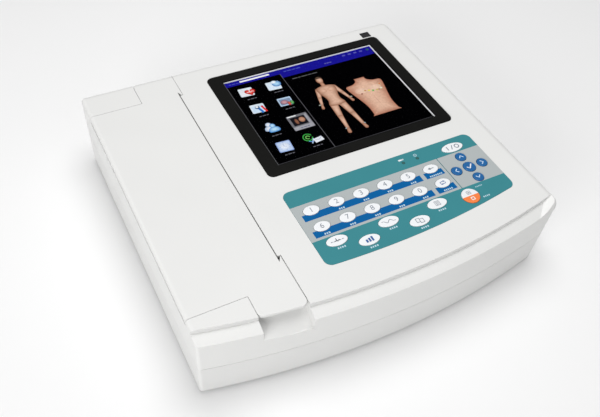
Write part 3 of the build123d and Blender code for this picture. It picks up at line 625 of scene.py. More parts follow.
# ---------------------------------------------------------------- marks on the keys
def wave(x, y, length, height):
    """One heart beat as a line: a small bump, a sharp spike with a dip after it, and a slow bump, each a
    bell curve."""
    t = np.linspace(0, 1, 40)
    beat = 0.18 * np.exp(-((t - 0.25) / 0.05) ** 2) + np.exp(-((t - 0.45) / 0.03) ** 2)
    beat = beat - 0.3 * np.exp(-((t - 0.52) / 0.03) ** 2) + 0.3 * np.exp(-((t - 0.75) / 0.07) ** 2)
    return np.column_stack([x + (t - 0.5) * length, y + (beat - 0.2) * height])


def draw_power(art, x, y):
    """A line, a slash and a ring."""
    art.flat(plate(x - 5.6, y, 1.1, 5.0), GREY)
    art.flat(band([(x - 1.8, y - 2.6), (x + 0.8, y + 2.6)], 0.9), GREY)
    art.ring(x + 5.0, y, 2.2, 1.0, GREY)


def draw_back(art, x, y):
    """An arrow that points to the left."""
    art.flat(band([(x - 1.0, y), (x + 3.2, y)], 0.9), GREY)
    art.flat([(x - 3.2, y), (x - 0.6, y - 1.7), (x - 0.6, y + 1.7)], GREY)


def draw_function(art, x, y):
    """Two bent arrows that chase each other."""
    for turn in (0, 180):
        bent = turned(band([(-2.6, -0.6), (-2.4, 1.2), (1.2, 1.4)], 0.7), x, y, turn)
        art.flat(bent, NAVY)
        art.flat(turned([(1.0, 0.3), (3.0, 1.4), (1.0, 2.5)], x, y, turn), NAVY)


def draw_speed(art, x, y):
    """A beat between two short dashes."""
    art.flat(band(wave(x, y, 7.5, 3.4), 0.55), GREY)
    art.flat(plate(x - 5.2, y - 0.4, 1.8, 0.7), GREY)
    art.flat(plate(x + 5.4, y - 0.4, 2.0, 0.7), GREY)


def draw_sensitivity(art, x, y):
    """Three blue bars that grow."""
    for i, height in enumerate((3.4, 4.2, 5.0)):
        art.flat(plate(x - 2.7 + 2.7 * i, y - 2.5 + height / 2, 1.9, height), NAVY)


def draw_filter(art, x, y):
    """A sine line with a dash at each end, one high and one low."""
    t = np.linspace(-1, 1, 24)
    art.flat(band(np.column_stack([x + t * 4.6, y + 1.3 * np.sin(t * 4.2)]), 0.6), GREY)
    art.flat(plate(x - 5.8, y + 1.1, 1.6, 0.6), GREY)
    art.flat(plate(x + 5.8, y - 1.1, 1.6, 0.6), GREY)


def draw_mode(art, x, y):
    """Two sheets that overlap."""
    for dx, dy, layer in ((-1.6, 0.7, 1), (1.6, -0.7, 3)):
        art.flat(plate(x + dx, y + dy, 4.2, 4.8, 0.4), GREY, layer)
        art.flat(plate(x + dx, y + dy, 3.0, 3.6, 0.2), WHITE, layer + 1)


def draw_print(art, x, y):
    """A sheet with lines on it."""
    art.flat(plate(x, y, 5.2, 5.4, 0.5), GREY)
    art.flat(plate(x, y, 4.2, 4.4, 0.3), WHITE, 2)
    for row in (-1.3, 0.0, 1.3):
        art.flat(plate(x, y + row, 3.0, 0.6), GREY, 3)


def draw_start(art, x, y):
    """A sheet in the white half and a square stop mark in the orange half."""
    art.flat(plate(x, y + 3.6, 4.2, 3.8, 0.4), GREY)
    art.flat(plate(x, y + 3.6, 3.2, 2.8, 0.3), WHITE, 2)
    art.flat(band(wave(x, y + 3.6, 2.8, 1.6), 0.35), GREY, 3)
    art.flat(plate(x, y - 3.6, 3.8, 3.6, 0.4), CREAM)
    art.flat(plate(x, y - 3.6, 2.2, 2.0, 0.2), (0.75, 0.16, 0.04), 2)


def draw_arrow(art, x, y, degrees):
    """An open arrow head."""
    art.flat(turned(band([(-1.3, -2.2), (1.2, 0.0), (-1.3, 2.2)], 1.0), x, y, degrees), ICON_PALE)


def draw_enter(art, x, y):
    """A tick."""
    art.flat(band([(x - 2.9, y + 0.2), (x - 0.8, y - 2.1), (x + 3.2, y + 2.5)], 1.2), WHITE)


KEY_DRAWINGS = {
    "key_power": draw_power,
    "key_back": draw_back,
    "key_function": draw_function,
    "key_speed": draw_speed,
    "key_sensitivity": draw_sensitivity,
    "key_filter": draw_filter,
    "key_mode": draw_mode,
    "key_print": draw_print,
    "key_start": draw_start,
    "key_enter": draw_enter,
}


def make_key_marks(look):
    """One printed mark on each key, riding on that key's body."""
    ink = printed_ink()
    for node in WHITE_KEYS + BLUE_KEYS + ["key_start"]:
        art = Artwork(top_of(node), PRINT_LAYER)
        x, y, _ = centre(node)
        if node in NUMBER_KEYS:
            art.number(node[-1], x, y, look.digit, GREY)
        elif node in ARROW_KEYS:
            draw_arrow(art, x, y, ARROW_KEYS[node])
        else:
            KEY_DRAWINGS[node](art, x, y)
        art.build(node + "_mark", body_of_key(node), ink)


def make_film_marks(look):
    """White dashes where the film's labels stand, and the two signs above the lamps."""
    art = Artwork(top_of("keypad_film"), PRINT_LAYER)
    on_bar = look.bar_offset / MM + LABEL_DROP
    labels = (
        (NUMBER_KEYS[2:] + NUMBER_KEYS[:1], LABEL, 0.8, on_bar),
        (["key_back"], (1.3,) * 7, 0.6, on_bar),
        (["key_function"], (1.3,) * 5, 0.6, on_bar),
        (OVAL_KEYS, (*LABEL, LABEL[0]), 0.4, OVAL_LABEL_DROP),
    )
    for nodes, widths, right, front in labels:
        for node in nodes:
            x, y, _ = centre(node)
            art.dashes(x + right, y - front, widths, LABEL_HEIGHT, PALE, 1, LABEL_SPACE)
    x, y, _ = centre("key_start")
    art.dashes(x + 14.4, y + 7.2, (0.9,) * 5, 1.3, PALE, 1, LABEL_SPACE)
    art.dashes(x + 13.8, y - 5.6, (1.2,) * 4, 1.7, PALE, 1, LABEL_SPACE)
    low, high = box_mm("indicator_leds")
    mains, cell = low.x + 1.6, high.x - 1.6
    y = high.y + 2.4
    art.flat(plate(mains - 1.6, y, 3.0, 1.8, 0.3), WHITE)
    art.flat(plate(mains + 1.2, y + 0.45, 2.6, 0.5), WHITE)
    art.flat(plate(mains + 1.2, y - 0.45, 2.6, 0.5), WHITE)
    art.ring(cell, y + 0.2, 1.5, 0.5, PALE)
    art.flat(plate(cell, y + 0.2, 0.6, 1.4), PALE)
    art.build("keypad_film_labels", "case", printed_ink())


# ---------------------------------------------------------------- the lit screen
def icon_sheet(art, x, y, colour=ICON_PALE):
    """A slightly turned sheet with a bright edge."""
    art.flat(turned(plate(0, 0, 14.6, 12.6, 1.2), x, y, -4), (0.74, 0.82, 0.90), 2)
    art.flat(turned(plate(0.3, -0.8, 13.0, 9.6, 0.8), x, y, -4), colour, 3)


def icon_heart(art, x, y):
    """A sheet with a red heart in front of it: two round lobes and a point."""
    icon_sheet(art, x - 1.5, y + 0.5, (0.80, 0.82, 0.88))
    t = np.linspace(0, 2 * np.pi, 32, endpoint=False)
    heart = np.column_stack([
        x + 2.4 + 0.36 * 16 * np.sin(t) ** 3,
        y - 0.8 + 0.34 * (13 * np.cos(t) - 5 * np.cos(2 * t) - 2 * np.cos(3 * t) - np.cos(4 * t)),
    ])
    art.dome(heart, (0.35, 0.0, 0.0), (0.95, 0.10, 0.08), 5, 0.2)
    art.flat(band(wave(x + 2.4, y - 0.4, 8.0, 3.0), 0.5), WHITE, 10)


def icon_sphere(art, x, y):
    """A sheet with a blue ball in front of it."""
    icon_sheet(art, x - 1.0, y - 0.5, (0.72, 0.84, 0.97))
    art.dome(ellipse(x + 3.0, y + 1.2, 4.8, 4.4), (0.03, 0.16, 0.50), (0.45, 0.74, 0.98), 5, 0.2)
    art.dome(ellipse(x + 1.0, y + 4.2, 3.2, 2.4), (0.50, 0.66, 0.85), (0.92, 0.96, 1.0), 6, 0.2)


def icon_tools(art, x, y):
    """A window with a blue and a red tool."""
    icon_sheet(art, x - 1.0, y + 1.0)
    art.flat(band([(x - 1.0, y + 3.4), (x + 1.8, y - 6.4)], 2.4), (0.04, 0.20, 0.62), 5)
    art.flat(band([(x + 3.6, y + 3.4), (x + 5.6, y - 6.0)], 2.2), RED, 5)
    art.flat(ellipse(x - 1.2, y + 2.4, 2.4, 2.2), (0.05, 0.12, 0.26), 6)
    art.flat(ellipse(x - 1.4, y + 3.0, 1.5, 1.3), WHITE, 7)


def icon_picture(art, x, y):
    """A sheet with a rosy, a red and a green ball."""
    art.flat(turned(plate(0, 0, 14.4, 12.0, 0.8), x, y, -3), (0.50, 0.66, 0.84), 2)
    art.flat(turned(plate(0, -0.4, 12.2, 9.0, 0.5), x, y, -3), (0.22, 0.30, 0.44), 3)
    art.dome(ellipse(x - 1.6, y - 0.8, 4.0, 3.2), (0.20, 0.10, 0.16), (0.62, 0.34, 0.38), 4, 0.12)
    art.dome(ellipse(x + 2.6, y - 4.2, 1.7, 2.8), (0.25, 0.01, 0.01), (0.70, 0.16, 0.10), 5, 0.12)
    art.dome(ellipse(x + 5.8, y - 3.6, 1.8, 2.8), (0.01, 0.14, 0.03), (0.18, 0.50, 0.16), 6, 0.12)


def icon_people(art, x, y):
    """A white figure with a blue one in front of it, each a head on round shoulders."""
    for dx, dy, dark, light, layer in (
        (-1.6, 1.4, (0.34, 0.46, 0.66), (0.88, 0.91, 0.96), 3),
        (1.4, -1.4, (0.06, 0.26, 0.66), (0.50, 0.78, 0.98), 7),
    ):
        shoulders = smooth([(-5.4, -4.0), (-4.8, 0.4), (0.0, 2.0), (4.8, 0.4), (5.4, -4.0), (0.0, -5.0)])
        art.dome(shoulders + (x + dx, y + dy), dark, light, layer, 0.15)
        art.dome(ellipse(x + dx, y + dy + 3.6, 2.9, 3.0), dark, light, layer + 1, 0.15)


def icon_framed(art, x, y):
    """The chosen icon: a grey frame round a small dark picture of a bust."""
    art.flat(plate(x, y, 22.0, 21.6, 0.6), (0.17, 0.17, 0.19), 2)
    art.flat(plate(x, y - 8.2, 21.0, 4.6, 0.4), (0.38, 0.38, 0.42), 3)
    art.flat(plate(x + 8.8, y + 1.4, 2.6, 15.0, 0.4), (0.34, 0.34, 0.38), 3)
    art.flat(plate(x - 0.8, y + 1.6, 15.4, 12.0, 0.4), (0.008, 0.008, 0.012), 4)
    art.dome(ellipse(x - 3.6, y + 1.0, 1.9, 4.2), (0.10, 0.04, 0.03), SKIN_DARK, 5, 0.1)
    art.dome(ellipse(x + 2.6, y + 2.2, 3.2, 3.6), SKIN_DARK, SKIN, 5, 0.1)
    art.flat(plate(x - 5.4, y + 9.6, 9.6, 1.3), WHITE, 4)
    art.dashes(x + 1.0, y - 8.4, (2.4, 3.4, 2.0), 1.0, (0.12, 0.13, 0.22), 4)


def icon_clock(art, x, y):
    """A pale sheet with a clock face."""
    art.flat(turned(plate(0, 0, 14.6, 14.0, 1.4), x, y, -4), (0.30, 0.42, 0.76), 2)
    art.flat(turned(plate(0, 0, 12.8, 12.2, 1.0), x, y, -4), (0.54, 0.67, 0.92), 3)
    art.dome(ellipse(x, y, 5.6, 5.4), (0.54, 0.67, 0.92), (0.84, 0.89, 0.97), 4, 0.05)
    art.flat(band([(x - 0.6, y + 3.0), (x - 0.2, y - 0.2), (x + 1.8, y - 0.8)], 0.6), (0.30, 0.38, 0.62), 7)
    for dx, dy in ((0, 5), (5, 0), (0, -5), (-5, 0)):
        art.flat(plate(x + dx, y + dy, 0.8, 0.8), (0.34, 0.42, 0.68), 7)


def icon_message(art, x, y):
    """A green swirl with a white envelope."""
    art.ring(x - 4.0, y + 2.6, 4.6, 1.0, GREEN, 2, 20, 350)
    art.ring(x - 4.0, y + 2.6, 2.0, 1.1, (0.16, 0.50, 0.10), 2, 0, 300)
    art.flat(turned(plate(0, 0, 9.6, 5.6, 0.4), x + 4.6, y - 3.6, 8), (0.82, 0.85, 0.92), 3)
    art.flat(band([(x + 0.4, y - 1.8), (x + 4.6, y - 4.2), (x + 9.0, y - 0.6)], 0.5), (0.42, 0.45, 0.62), 4)
    art.flat(band([(x - 3.4, y - 6.4), (x + 0.4, y - 0.6)], 1.1), (0.52, 0.66, 0.90), 4)
    art.flat(band([(x - 5.4, y - 2.6), (x - 1.2, y - 5.0)], 0.8), (0.12, 0.34, 0.72), 4)


def draw_figure(art):
    """A standing mannequin, arms a little out, with clips on its wrists and ankles. Every part is a
    rounded limb between two points of a plain figure, the same on both sides of its middle line."""
    x = 94.2
    for side in (-1, 1):
        shoulder = (x + side * 9.2, 82.6)
        elbow = (x + side * 13.2, 70.6)
        wrist = (x + side * 16.0, 60.6)
        hip = (x + side * 4.6, 57.0)
        knee = (x + side * 7.0, 38.8)
        ankle = (x + side * 8.8, 20.4)
        for a, b, r0, r1, layer in (
            (shoulder, elbow, 2.7, 2.0, 3), (elbow, wrist, 2.0, 1.4, 4),
            (hip, knee, 4.3, 2.9, 3), (knee, ankle, 2.8, 1.7, 4),
        ):
            art.dome(limb(a, b, r0, r1), SKIN_DARK, SKIN_LIGHT, layer, 0.16)
        hand = (wrist[0] + side * 1.2, wrist[1] - 4.8)
        art.dome(limb(wrist, hand, 1.2, 1.6), SKIN_DARK, SKIN, 5, 0.1)
        toe = (ankle[0] + side * 0.8, ankle[1] - 4.6)
        art.dome(limb(ankle, toe, 1.6, 2.0), SKIN_DARK, SKIN, 5, 0.1)
        art.flat(plate(wrist[0] + side * 1.8, wrist[1] + 0.6, 2.6, 1.0, 0.2), (0.46, 0.52, 0.46), 6)
        art.flat(plate(ankle[0] + side * 1.4, ankle[1] + 0.8, 2.2, 1.0, 0.2), (0.40, 0.52, 0.56), 6)
    chest = smooth([
        (-2.4, 87.2), (-9.8, 84.8), (-10.4, 78.0), (-7.6, 70.0), (-7.0, 63.6), (-8.9, 57.0), (-3.0, 54.8),
        (3.0, 54.8), (8.9, 57.0), (7.0, 63.6), (7.6, 70.0), (10.4, 78.0), (9.8, 84.8), (2.4, 87.2),
    ]) + (x, 0)
    spine = np.column_stack([np.full(len(chest), x), np.clip(chest[:, 1], 60.0, 81.0)])
    art.dome(chest, SKIN_DARK, SKIN_LIGHT, 6, 0.22, spine)
    for side in (-1, 1):
        art.dome(ellipse(x + side * 4.2, 79.4, 4.0, 3.2), SKIN, SKIN_LIGHT, 9, 0.2)
    art.dome(limb((x, 91.4), (x, 86.2), 1.9, 2.3), SKIN_DARK, SKIN, 7, 0.1)
    art.dome(ellipse(x, 96.2, 3.6, 4.9), SKIN_DARK, SKIN_LIGHT, 8, 0.2)
    art.dome(ellipse(x, 98.8, 3.8, 2.9, 0, 180), (0.03, 0.02, 0.015), (0.12, 0.075, 0.05), 14, 0.05)


def draw_bust(art):
    """A mannequin's chest without head or arms, cut straight at neck and waist, with six small
    electrodes across it. It is the same on both sides of its middle line."""
    x = 134.6
    side_line = np.array([
        (5.2, 90.0), (6.2, 80.6), (12.0, 76.4), (19.6, 75.2), (20.8, 71.0), (18.6, 61.0), (15.8, 50.0),
        (14.0, 39.0), (14.6, 26.0), (14.6, 16.0),
    ])
    chest = smooth(np.vstack([side_line, side_line[::-1] * (-1, 1)])) + (x, 0)
    chest[:, 1] = np.clip(chest[:, 1], 26.0, 84.0)
    spine = np.column_stack([np.full(len(chest), x), np.clip(chest[:, 1], 38.0, 70.0)])
    art.dome(chest, (0.46, 0.19, 0.12), (0.80, 0.51, 0.37), 3, 0.3, spine)
    for side in (-1, 1):
        art.dome(ellipse(x + side * 8.0, 64.4, 7.4, 5.4), (0.74, 0.45, 0.33), (0.86, 0.60, 0.46), 6, 0.24)
        art.flat(ellipse(x + side * 10.2, 59.8, 1.0, 0.8), (0.30, 0.10, 0.07), 14)
    art.flat(plate(x, 46.6, 0.7, 13.0, 0.3), (0.64, 0.38, 0.28), 12)
    electrodes = (
        (-4.6, 63.0, (0.62, 0.20, 0.12)), (-0.6, 61.8, YELLOW), (3.4, 60.4, GREEN),
        (8.2, 59.8, (0.66, 0.40, 0.10)), (13.4, 61.0, (0.80, 0.76, 0.66)), (15.2, 67.4, (0.72, 0.14, 0.08)),
    )
    for dx, y, colour in electrodes:
        art.flat(ellipse(x + dx, y, 1.6, 1.4), (0.66, 0.60, 0.34), 14)
        art.flat(ellipse(x + dx, y, 1.1, 1.0), colour, 15)


def draw_title(art, w, d):
    """The blue title bar, its white field and small signs."""
    art.flat(plate(w / 2 + 1.0, d - 2.0, w + 1.0, 7.2), TITLE_BLUE, 1)
    art.flat(plate((w + 61.0) / 2, d - 8.0, w - 61.0, 8.4), TITLE_BLUE, 1)
    art.flat(plate(33.4, 125.3, 33.2, 2.2), (0.92, 0.92, 0.94), 3)
    dim = (0.06, 0.08, 0.44)
    art.dashes(10.0, 124.4, (2.4, 4.0, 3.0), 1.0, dim, 3)
    art.dashes(76.0, 123.6, (3.0, 5.0, 4.0, 5.0), 1.4, dim, 3)
    art.dashes(117.0, 119.2, (2.0, 2.6, 2.2), 1.4, (0.12, 0.12, 0.42), 3)
    for i in range(4):
        art.flat(plate(139.0 + 7.2 * i, 124.0, 3.6, 2.0, 0.3), (0.10, 0.10, 0.46), 3)
    art.flat(ellipse(169.2, 124.0, 1.8, 1.6), (0.03, 0.10, 0.12), 3)


def lit_panel(look):
    """Light of the panel: each shape's own colour, softly mottled, crossed by the fine grid of its cells."""
    finish = Finish("lit_screen", Specular_IOR_Level=0.0, Emission_Strength=look.light)
    ink = finish.node("Attribute", {"attribute_name": "ink"}, "Color")
    x, y, _ = finish.axes()
    pitch = look.cell / MM
    gap = ((x / pitch).math("FRACT") < 0.12) + ((y / pitch).math("FRACT") < 0.12)
    mottle = finish.noise(2.2 * MM, 3.0) * 0.5 + 0.74
    picture = finish.node("HueSaturation", Color=ink, Value=mottle)
    dimmer = finish.node("HueSaturation", Color=picture, Value=0.82)
    finish.set(Base_Color=(0.0004, 0.0004, 0.0005), Roughness=0.3)
    finish.set(Emission_Color=finish.mix(gap, picture, dimmer))
    return finish.material


def gasket_painted_light_and_shade(left, front):
    """Foam whose lip is painted pale along the back and the right of the picture as painted light, and
    painted dark along the other sides as painted shade.
    """
    foam = Finish("gasket_foam_painted_light_and_shade", Specular_IOR_Level=0.2)
    x, y, _ = foam.axes()
    fine = foam.noise(0.5 * MM, 3.0)
    pale = foam.mix(fine, (0.76, 0.77, 0.79), (0.84, 0.85, 0.87))
    dark = foam.mix(fine, (0.07, 0.07, 0.075), (0.11, 0.11, 0.115))
    # painted light and shade: the lip is pale on its back and right sides and dark on its front and left
    lit = (x > left + 0.2) * (y > front + 0.2)
    foam.set(Base_Color=foam.mix(lit, dark, pale), Roughness=fine * 0.1 + 0.65)
    foam.bump(fine, 0.02 * MM, 1.0)
    return foam


def make_screen(look):
    """The lit picture on the panel, and the finishes of the glass, the panel and its gasket."""
    low, high = box_mm("screen_gasket")
    left, front = low.x + GASKET_RIM, low.y + GASKET_RIM
    w, d = high.x - low.x - 2 * GASKET_RIM, high.y - low.y - 2 * GASKET_RIM
    art = Artwork(top_of("lcd_module"), SCREEN_LAYER)
    art.flat(plate(w / 2, d / 2, w + 3.0, d + 3.0), BLACK, 0.5)
    draw_title(art, w, d)
    art.flat(plate(60.9, 62.0, 0.7, 119.0), LINE, 2)
    art.flat(plate(0.9, 62.0, 0.6, 119.0), LINE, 2)
    art.flat(plate(w / 2, 2.6, w - 2.0, 0.5), shade(LINE, 0.7), 2)
    icons = (
        (18.0, 107.6, icon_heart), (47.6, 107.4, icon_sphere),
        (18.0, 80.0, icon_tools), (46.7, 80.1, icon_picture),
        (17.3, 50.1, icon_people), (47.1, 47.5, icon_framed),
        (17.2, 22.3, icon_clock), (46.9, 21.9, icon_message),
    )
    for x, y, draw in icons:
        draw(art, x, y)
        if draw is not icon_framed:
            art.dashes(x, y - 10.9, (2.6, 3.6, 2.2), 1.0, (0.12, 0.12, 0.14), 2)
    art.dashes(84.0, 109.4, (6.0, 3.0, 7.0, 4.0, 6.0), 1.2, (0.10, 0.105, 0.11), 2)
    draw_figure(art)
    draw_bust(art)
    for points in art.points:
        points += (left * MM, front * MM, 0.0)
    art.build("screen_picture", "case", lit_panel(look))

    glass = Finish("touch_glass", Alpha=0.07, Specular_IOR_Level=0.04)
    smear = glass.noise(18 * MM, 3.0)
    glass.set(Base_Color=(0.001, 0.001, 0.0012), Roughness=smear * 0.06 + 0.06)
    paint(glass, "touch_panel")
    panel = moulded("panel_frame", (0.02, 0.02, 0.022), 0.8 * MM, 0.4)
    paint(panel, "lcd_module")
    paint(gasket_painted_light_and_shade(left, front), "screen_gasket")


# ---------------------------------------------------------------- finishes inside the case
def paper_finish():
    """Chart paper: a red grid of 1 mm and 5 mm squares on the rolled face, and the edges of its layers
    on the ends, where the radius from the roll's middle sets the tone."""
    paper = Finish("chart_paper")
    x, y, z = paper.axes()
    mid = centre("roll_spindle")
    dx, dz = x - mid.x, z - mid.z
    radius = (dx * dx + dz * dz).math("SQRT")
    low, high = box_mm("paper_roll")
    around = dx.math("ARCTAN2", dz) * ((high.x - low.x) / 2)
    fine = paper.noise(0.4 * MM, 3.0)

    def grid(pitch, width):
        """1 on the lines of a square grid and 0 between them."""
        along, across = ((way / pitch).math("FRACT") < width / pitch for way in (y, around))
        return (along + across).math("MINIMUM", 1.0)

    thin = grid(*FINE_GRID)
    thick = grid(*HEAVY_GRID)
    sheet = paper.mix(fine, (0.80, 0.77, 0.74), (0.86, 0.83, 0.80))
    face = paper.mix(thin * 0.35, sheet, (0.85, 0.35, 0.33))
    face = paper.mix(thick * 0.7, face, (0.80, 0.28, 0.26))
    layers = (radius / 0.4).math("SINE") * 0.5 + 0.5
    edge = paper.mix(layers, (0.62, 0.58, 0.55), (0.82, 0.79, 0.76))
    at_end = 1 - inside(y, y, low.y + 0.05, high.y - 0.05, low.y, high.y)
    paper.set(Base_Color=paper.mix(at_end, face, edge), Roughness=fine * 0.1 + 0.75)
    paper.bump(fine, 0.02 * MM, 0.5)
    return paper


def board_finish():
    """Green circuit board: copper tracks under the mask on a square grid, with pale spots on a 2.54 mm grid
    on its faces that point up.
    """
    board = Finish("circuit_board", Specular_IOR_Level=0.5)
    x, y, _ = board.axes()
    cells = board.node("TexBrick", {"offset": 0.3}, "Fac", Vector=board.place, Scale=120.0, Mortar_Size=0.012)
    cloud = board.noise(6 * MM, 2.0)
    mask = board.mix(cells, (0.010, 0.11, 0.045), (0.03, 0.22, 0.09))
    up = board.node("SeparateXYZ", out="Z", Vector=board.node("NewGeometry", out="Normal"))
    dots = ((x / 2.54).math("FRACT") < 0.25) * ((y / 2.54).math("FRACT") < 0.25) * (cloud > 0.55)
    mask = board.mix(dots * (up > 0.9), mask, (0.55, 0.52, 0.45))
    board.set(Base_Color=mask, Roughness=cloud * 0.2 + 0.3)
    board.bump(cells, 0.03 * MM, 0.4)
    return board


def finish_recorder():
    """Lid mechanism, paper, gears and print head."""
    steel = metal("turned_steel", (0.62, 0.62, 0.63), 0.3)
    paint(steel, "platen_shaft", "hinge_pins", "case_screws", "head_springs")
    paint(metal("plated_sheet", (0.52, 0.53, 0.54), 0.42, (40.0, 1.0, 40.0)), "print_frame")
    paint(moulded("platen_rubber", (0.022, 0.022, 0.023), 0.4 * MM, 0.8, 1.0), "platen_rubber")
    acetal = moulded("acetal_gear", (0.74, 0.72, 0.64), 0.6 * MM, 0.4)
    paint(acetal, "platen_gear", "idler_gear", "motor_pinion")
    paint(moulded("tray_grey", (0.42, 0.43, 0.44), 0.8 * MM, 0.5), "paper_tray")
    paint(moulded("spindle_grey", (0.10, 0.105, 0.11), 0.6 * MM, 0.5), "roll_spindle")
    paint(metal("head_aluminium", (0.60, 0.61, 0.62), 0.38, (40.0, 1.0, 40.0)), "print_head")
    paint(moulded("motor_lacquer", (0.03, 0.03, 0.032), 1.0 * MM, 0.35), "paper_motor")
    paint(paper_finish(), "paper_roll")


def finish_electrics():
    """Boards, battery, speaker and the sockets on the back and the right."""
    paint(board_finish(), "main_board", "power_board", "lead_board", "keypad_board")
    black = moulded("socket_black", (0.018, 0.018, 0.02), 0.7 * MM, 0.45)
    paint(black, "mains_inlet", "switch_rocker", "speaker")
    paint(metal("earth_brass", (0.70, 0.58, 0.34), 0.3), "earth_socket")
    sleeve = moulded("battery_sleeve", (0.02, 0.05, 0.20), 2.0 * MM, 0.35, Coat_Weight=0.3)
    paint(sleeve, "battery_pack")


# ---------------------------------------------------------------- studio
def soft_lamp(name, power, size, place):
    """A rectangular lamp that faces the object from a place, its long side level."""
    lamp = bpy.data.lights.new(name, "AREA")
    lamp.energy = power
    lamp.shape = "RECTANGLE"
    lamp.size, lamp.size_y = size
    holder = bpy.data.objects.new(name, lamp)
    holder.location = place
    holder.rotation_mode = "QUATERNION"
    holder.rotation_quaternion = Vector(place).to_track_quat("Z", "Y")
    bpy.context.scene.collection.objects.link(holder)


def lay_floor():
    """A plain white floor of squares at the height of the object's feet."""
    lines = np.linspace(-FLOOR_REACH, FLOOR_REACH, FLOOR_SQUARES + 1)
    row = len(lines)
    across, along = np.meshgrid(lines, lines, indexing="ij")
    points = np.column_stack([across.ravel(), along.ravel(), np.full(across.size, CAD_BOX[0].z)])
    squares = np.arange(FLOOR_SQUARES)
    i, j = (a.ravel() for a in np.meshgrid(squares, squares, indexing="ij"))
    corner = i * row + j
    quads = np.column_stack([corner, corner + row, corner + row + 1, corner + 1])
    mesh = bpy.data.meshes.new("floor")
    mesh.from_pydata(points.tolist(), [], quads.tolist())
    floor = bpy.data.objects.new("floor", mesh)
    bpy.context.scene.collection.objects.link(floor)
    white = Finish("floor_white", Specular_IOR_Level=0.0)
    cloud = white.noise(0.4)
    white.set(Base_Color=white.mix(cloud, (0.895, 0.895, 0.895), (0.915, 0.915, 0.915)), Roughness=0.9)
    mesh.materials.append(white.material)


def surround(strength):
    """An even white light from all sides."""
    world = bpy.data.worlds.new("surround")
    world.use_nodes = True
    background = world.node_tree.nodes["Background"]
    background.inputs["Color"].default_value = (1.0, 1.0, 1.0, 1.0)
    background.inputs["Strength"].default_value = strength
    bpy.context.scene.world = world


def place_camera(lens):
    """The camera, at its place and turned by the three ways of its own axes."""
    data = bpy.data.cameras.new("camera")
    data.lens = lens
    data.sensor_width = 36.0
    data.clip_start = 0.01
    camera = bpy.data.objects.new("camera", data)
    turn = Matrix((CAMERA_RIGHT, CAMERA_UP, CAMERA_BACK)).transposed().to_4x4()
    camera.matrix_world = Matrix.Translation(CAMERA_PLACE) @ turn
    bpy.context.scene.collection.objects.link(camera)
    bpy.context.scene.camera = camera


def make_studio(look):
    """A plain white floor, an even surround, two soft lamps, and the camera."""
    lay_floor()
    surround(look.sky)
    soft_lamp("key", look.key, KEY_LAMP_SIZE, KEY_LAMP_PLACE)
    soft_lamp("fill", look.fill, FILL_LAMP_SIZE, FILL_LAMP_PLACE)
    place_camera(look.lens)
    bpy.context.scene.view_settings.view_transform = "Standard"


# ---------------------------------------------------------------- operators and panel
class ECG_OT_case(bpy.types.Operator):
    """Finish the white case, the bezel and the small parts set in the top"""
    bl_idname = "ecg.case"
    bl_label = "Case finishes"

    def execute(self, context):
        finish_case(context.scene.ecg_case)
        return {"FINISHED"}


class ECG_OT_keypad(bpy.types.Operator):
    """Finish the keypad film, the keys and the lamps"""
    bl_idname = "ecg.keypad"
    bl_label = "Keypad finishes"

    def execute(self, context):
        finish_keypad(context.scene.ecg_keypad)
        return {"FINISHED"}


class ECG_OT_key_marks(bpy.types.Operator):
    """Print the marks on the keys"""
    bl_idname = "ecg.key_marks"
    bl_label = "Key marks"

    def execute(self, context):
        make_key_marks(context.scene.ecg_keypad)
        return {"FINISHED"}


class ECG_OT_film_marks(bpy.types.Operator):
    """Print the dashes and signs on the keypad film"""
    bl_idname = "ecg.film_marks"
    bl_label = "Film marks"

    def execute(self, context):
        make_film_marks(context.scene.ecg_keypad)
        return {"FINISHED"}


class ECG_OT_screen(bpy.types.Operator):
    """Light the screen's picture and finish its glass"""
    bl_idname = "ecg.screen"
    bl_label = "Screen"

    def execute(self, context):
        make_screen(context.scene.ecg_screen)
        return {"FINISHED"}


class ECG_OT_recorder(bpy.types.Operator):
    """Finish the paper recorder under the lid"""
    bl_idname = "ecg.recorder"
    bl_label = "Recorder finishes"

    def execute(self, context):
        finish_recorder()
        return {"FINISHED"}


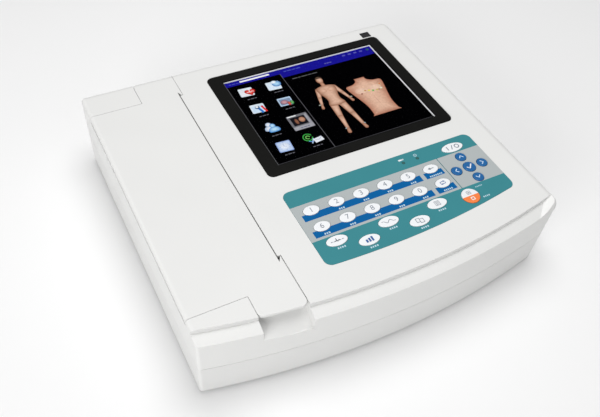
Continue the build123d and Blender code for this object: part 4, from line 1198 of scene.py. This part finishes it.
class ECG_OT_electrics(bpy.types.Operator):
    """Finish the boards, the battery and the sockets"""
    bl_idname = "ecg.electrics"
    bl_label = "Electrics finishes"

    def execute(self, context):
        finish_electrics()
        return {"FINISHED"}


class ECG_OT_studio(bpy.types.Operator):
    """Build the floor, the lights and the camera"""
    bl_idname = "ecg.studio"
    bl_label = "Studio"

    def execute(self, context):
        make_studio(context.scene.ecg_studio)
        return {"FINISHED"}


OPERATORS = (
    ECG_OT_case, ECG_OT_keypad, ECG_OT_key_marks, ECG_OT_film_marks, ECG_OT_screen,
    ECG_OT_recorder, ECG_OT_electrics, ECG_OT_studio,
)
LOOKS = {"ecg_case": CaseLook, "ecg_keypad": KeypadLook, "ecg_screen": ScreenLook, "ecg_studio": StudioLook}


class ECG_PT_looks(bpy.types.Panel):
    """Lists every piece's button and every size and colour"""
    bl_idname = "ECG_PT_looks"
    bl_label = "ECG machine"
    bl_space_type = "VIEW_3D"
    bl_region_type = "UI"
    bl_category = "ECG machine"

    def draw(self, context):
        for operator in OPERATORS:
            self.layout.operator(operator.bl_idname)
        for name, group in LOOKS.items():
            box = self.layout.box()
            for value in group.__annotations__:
                box.prop(getattr(context.scene, name), value)


def register():
    """Adds the classes and gives the scene its groups of sizes and colours."""
    for cls in (*LOOKS.values(), *OPERATORS, ECG_PT_looks):
        bpy.utils.register_class(cls)
    for name, group in LOOKS.items():
        setattr(bpy.types.Scene, name, PointerProperty(type=group))


def unregister():
    """Takes away what register added, in the opposite order."""
    for name in LOOKS:
        delattr(bpy.types.Scene, name)
    for cls in (ECG_PT_looks, *reversed(OPERATORS), *reversed(LOOKS.values())):
        bpy.utils.unregister_class(cls)


def main():
    register()
    bpy.ops.ecg.case()
    bpy.ops.ecg.keypad()
    bpy.ops.ecg.key_marks()
    bpy.ops.ecg.film_marks()
    bpy.ops.ecg.screen()
    bpy.ops.ecg.recorder()
    bpy.ops.ecg.electrics()
    bpy.ops.ecg.studio()
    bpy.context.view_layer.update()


if __name__ == "__main__":
    main()
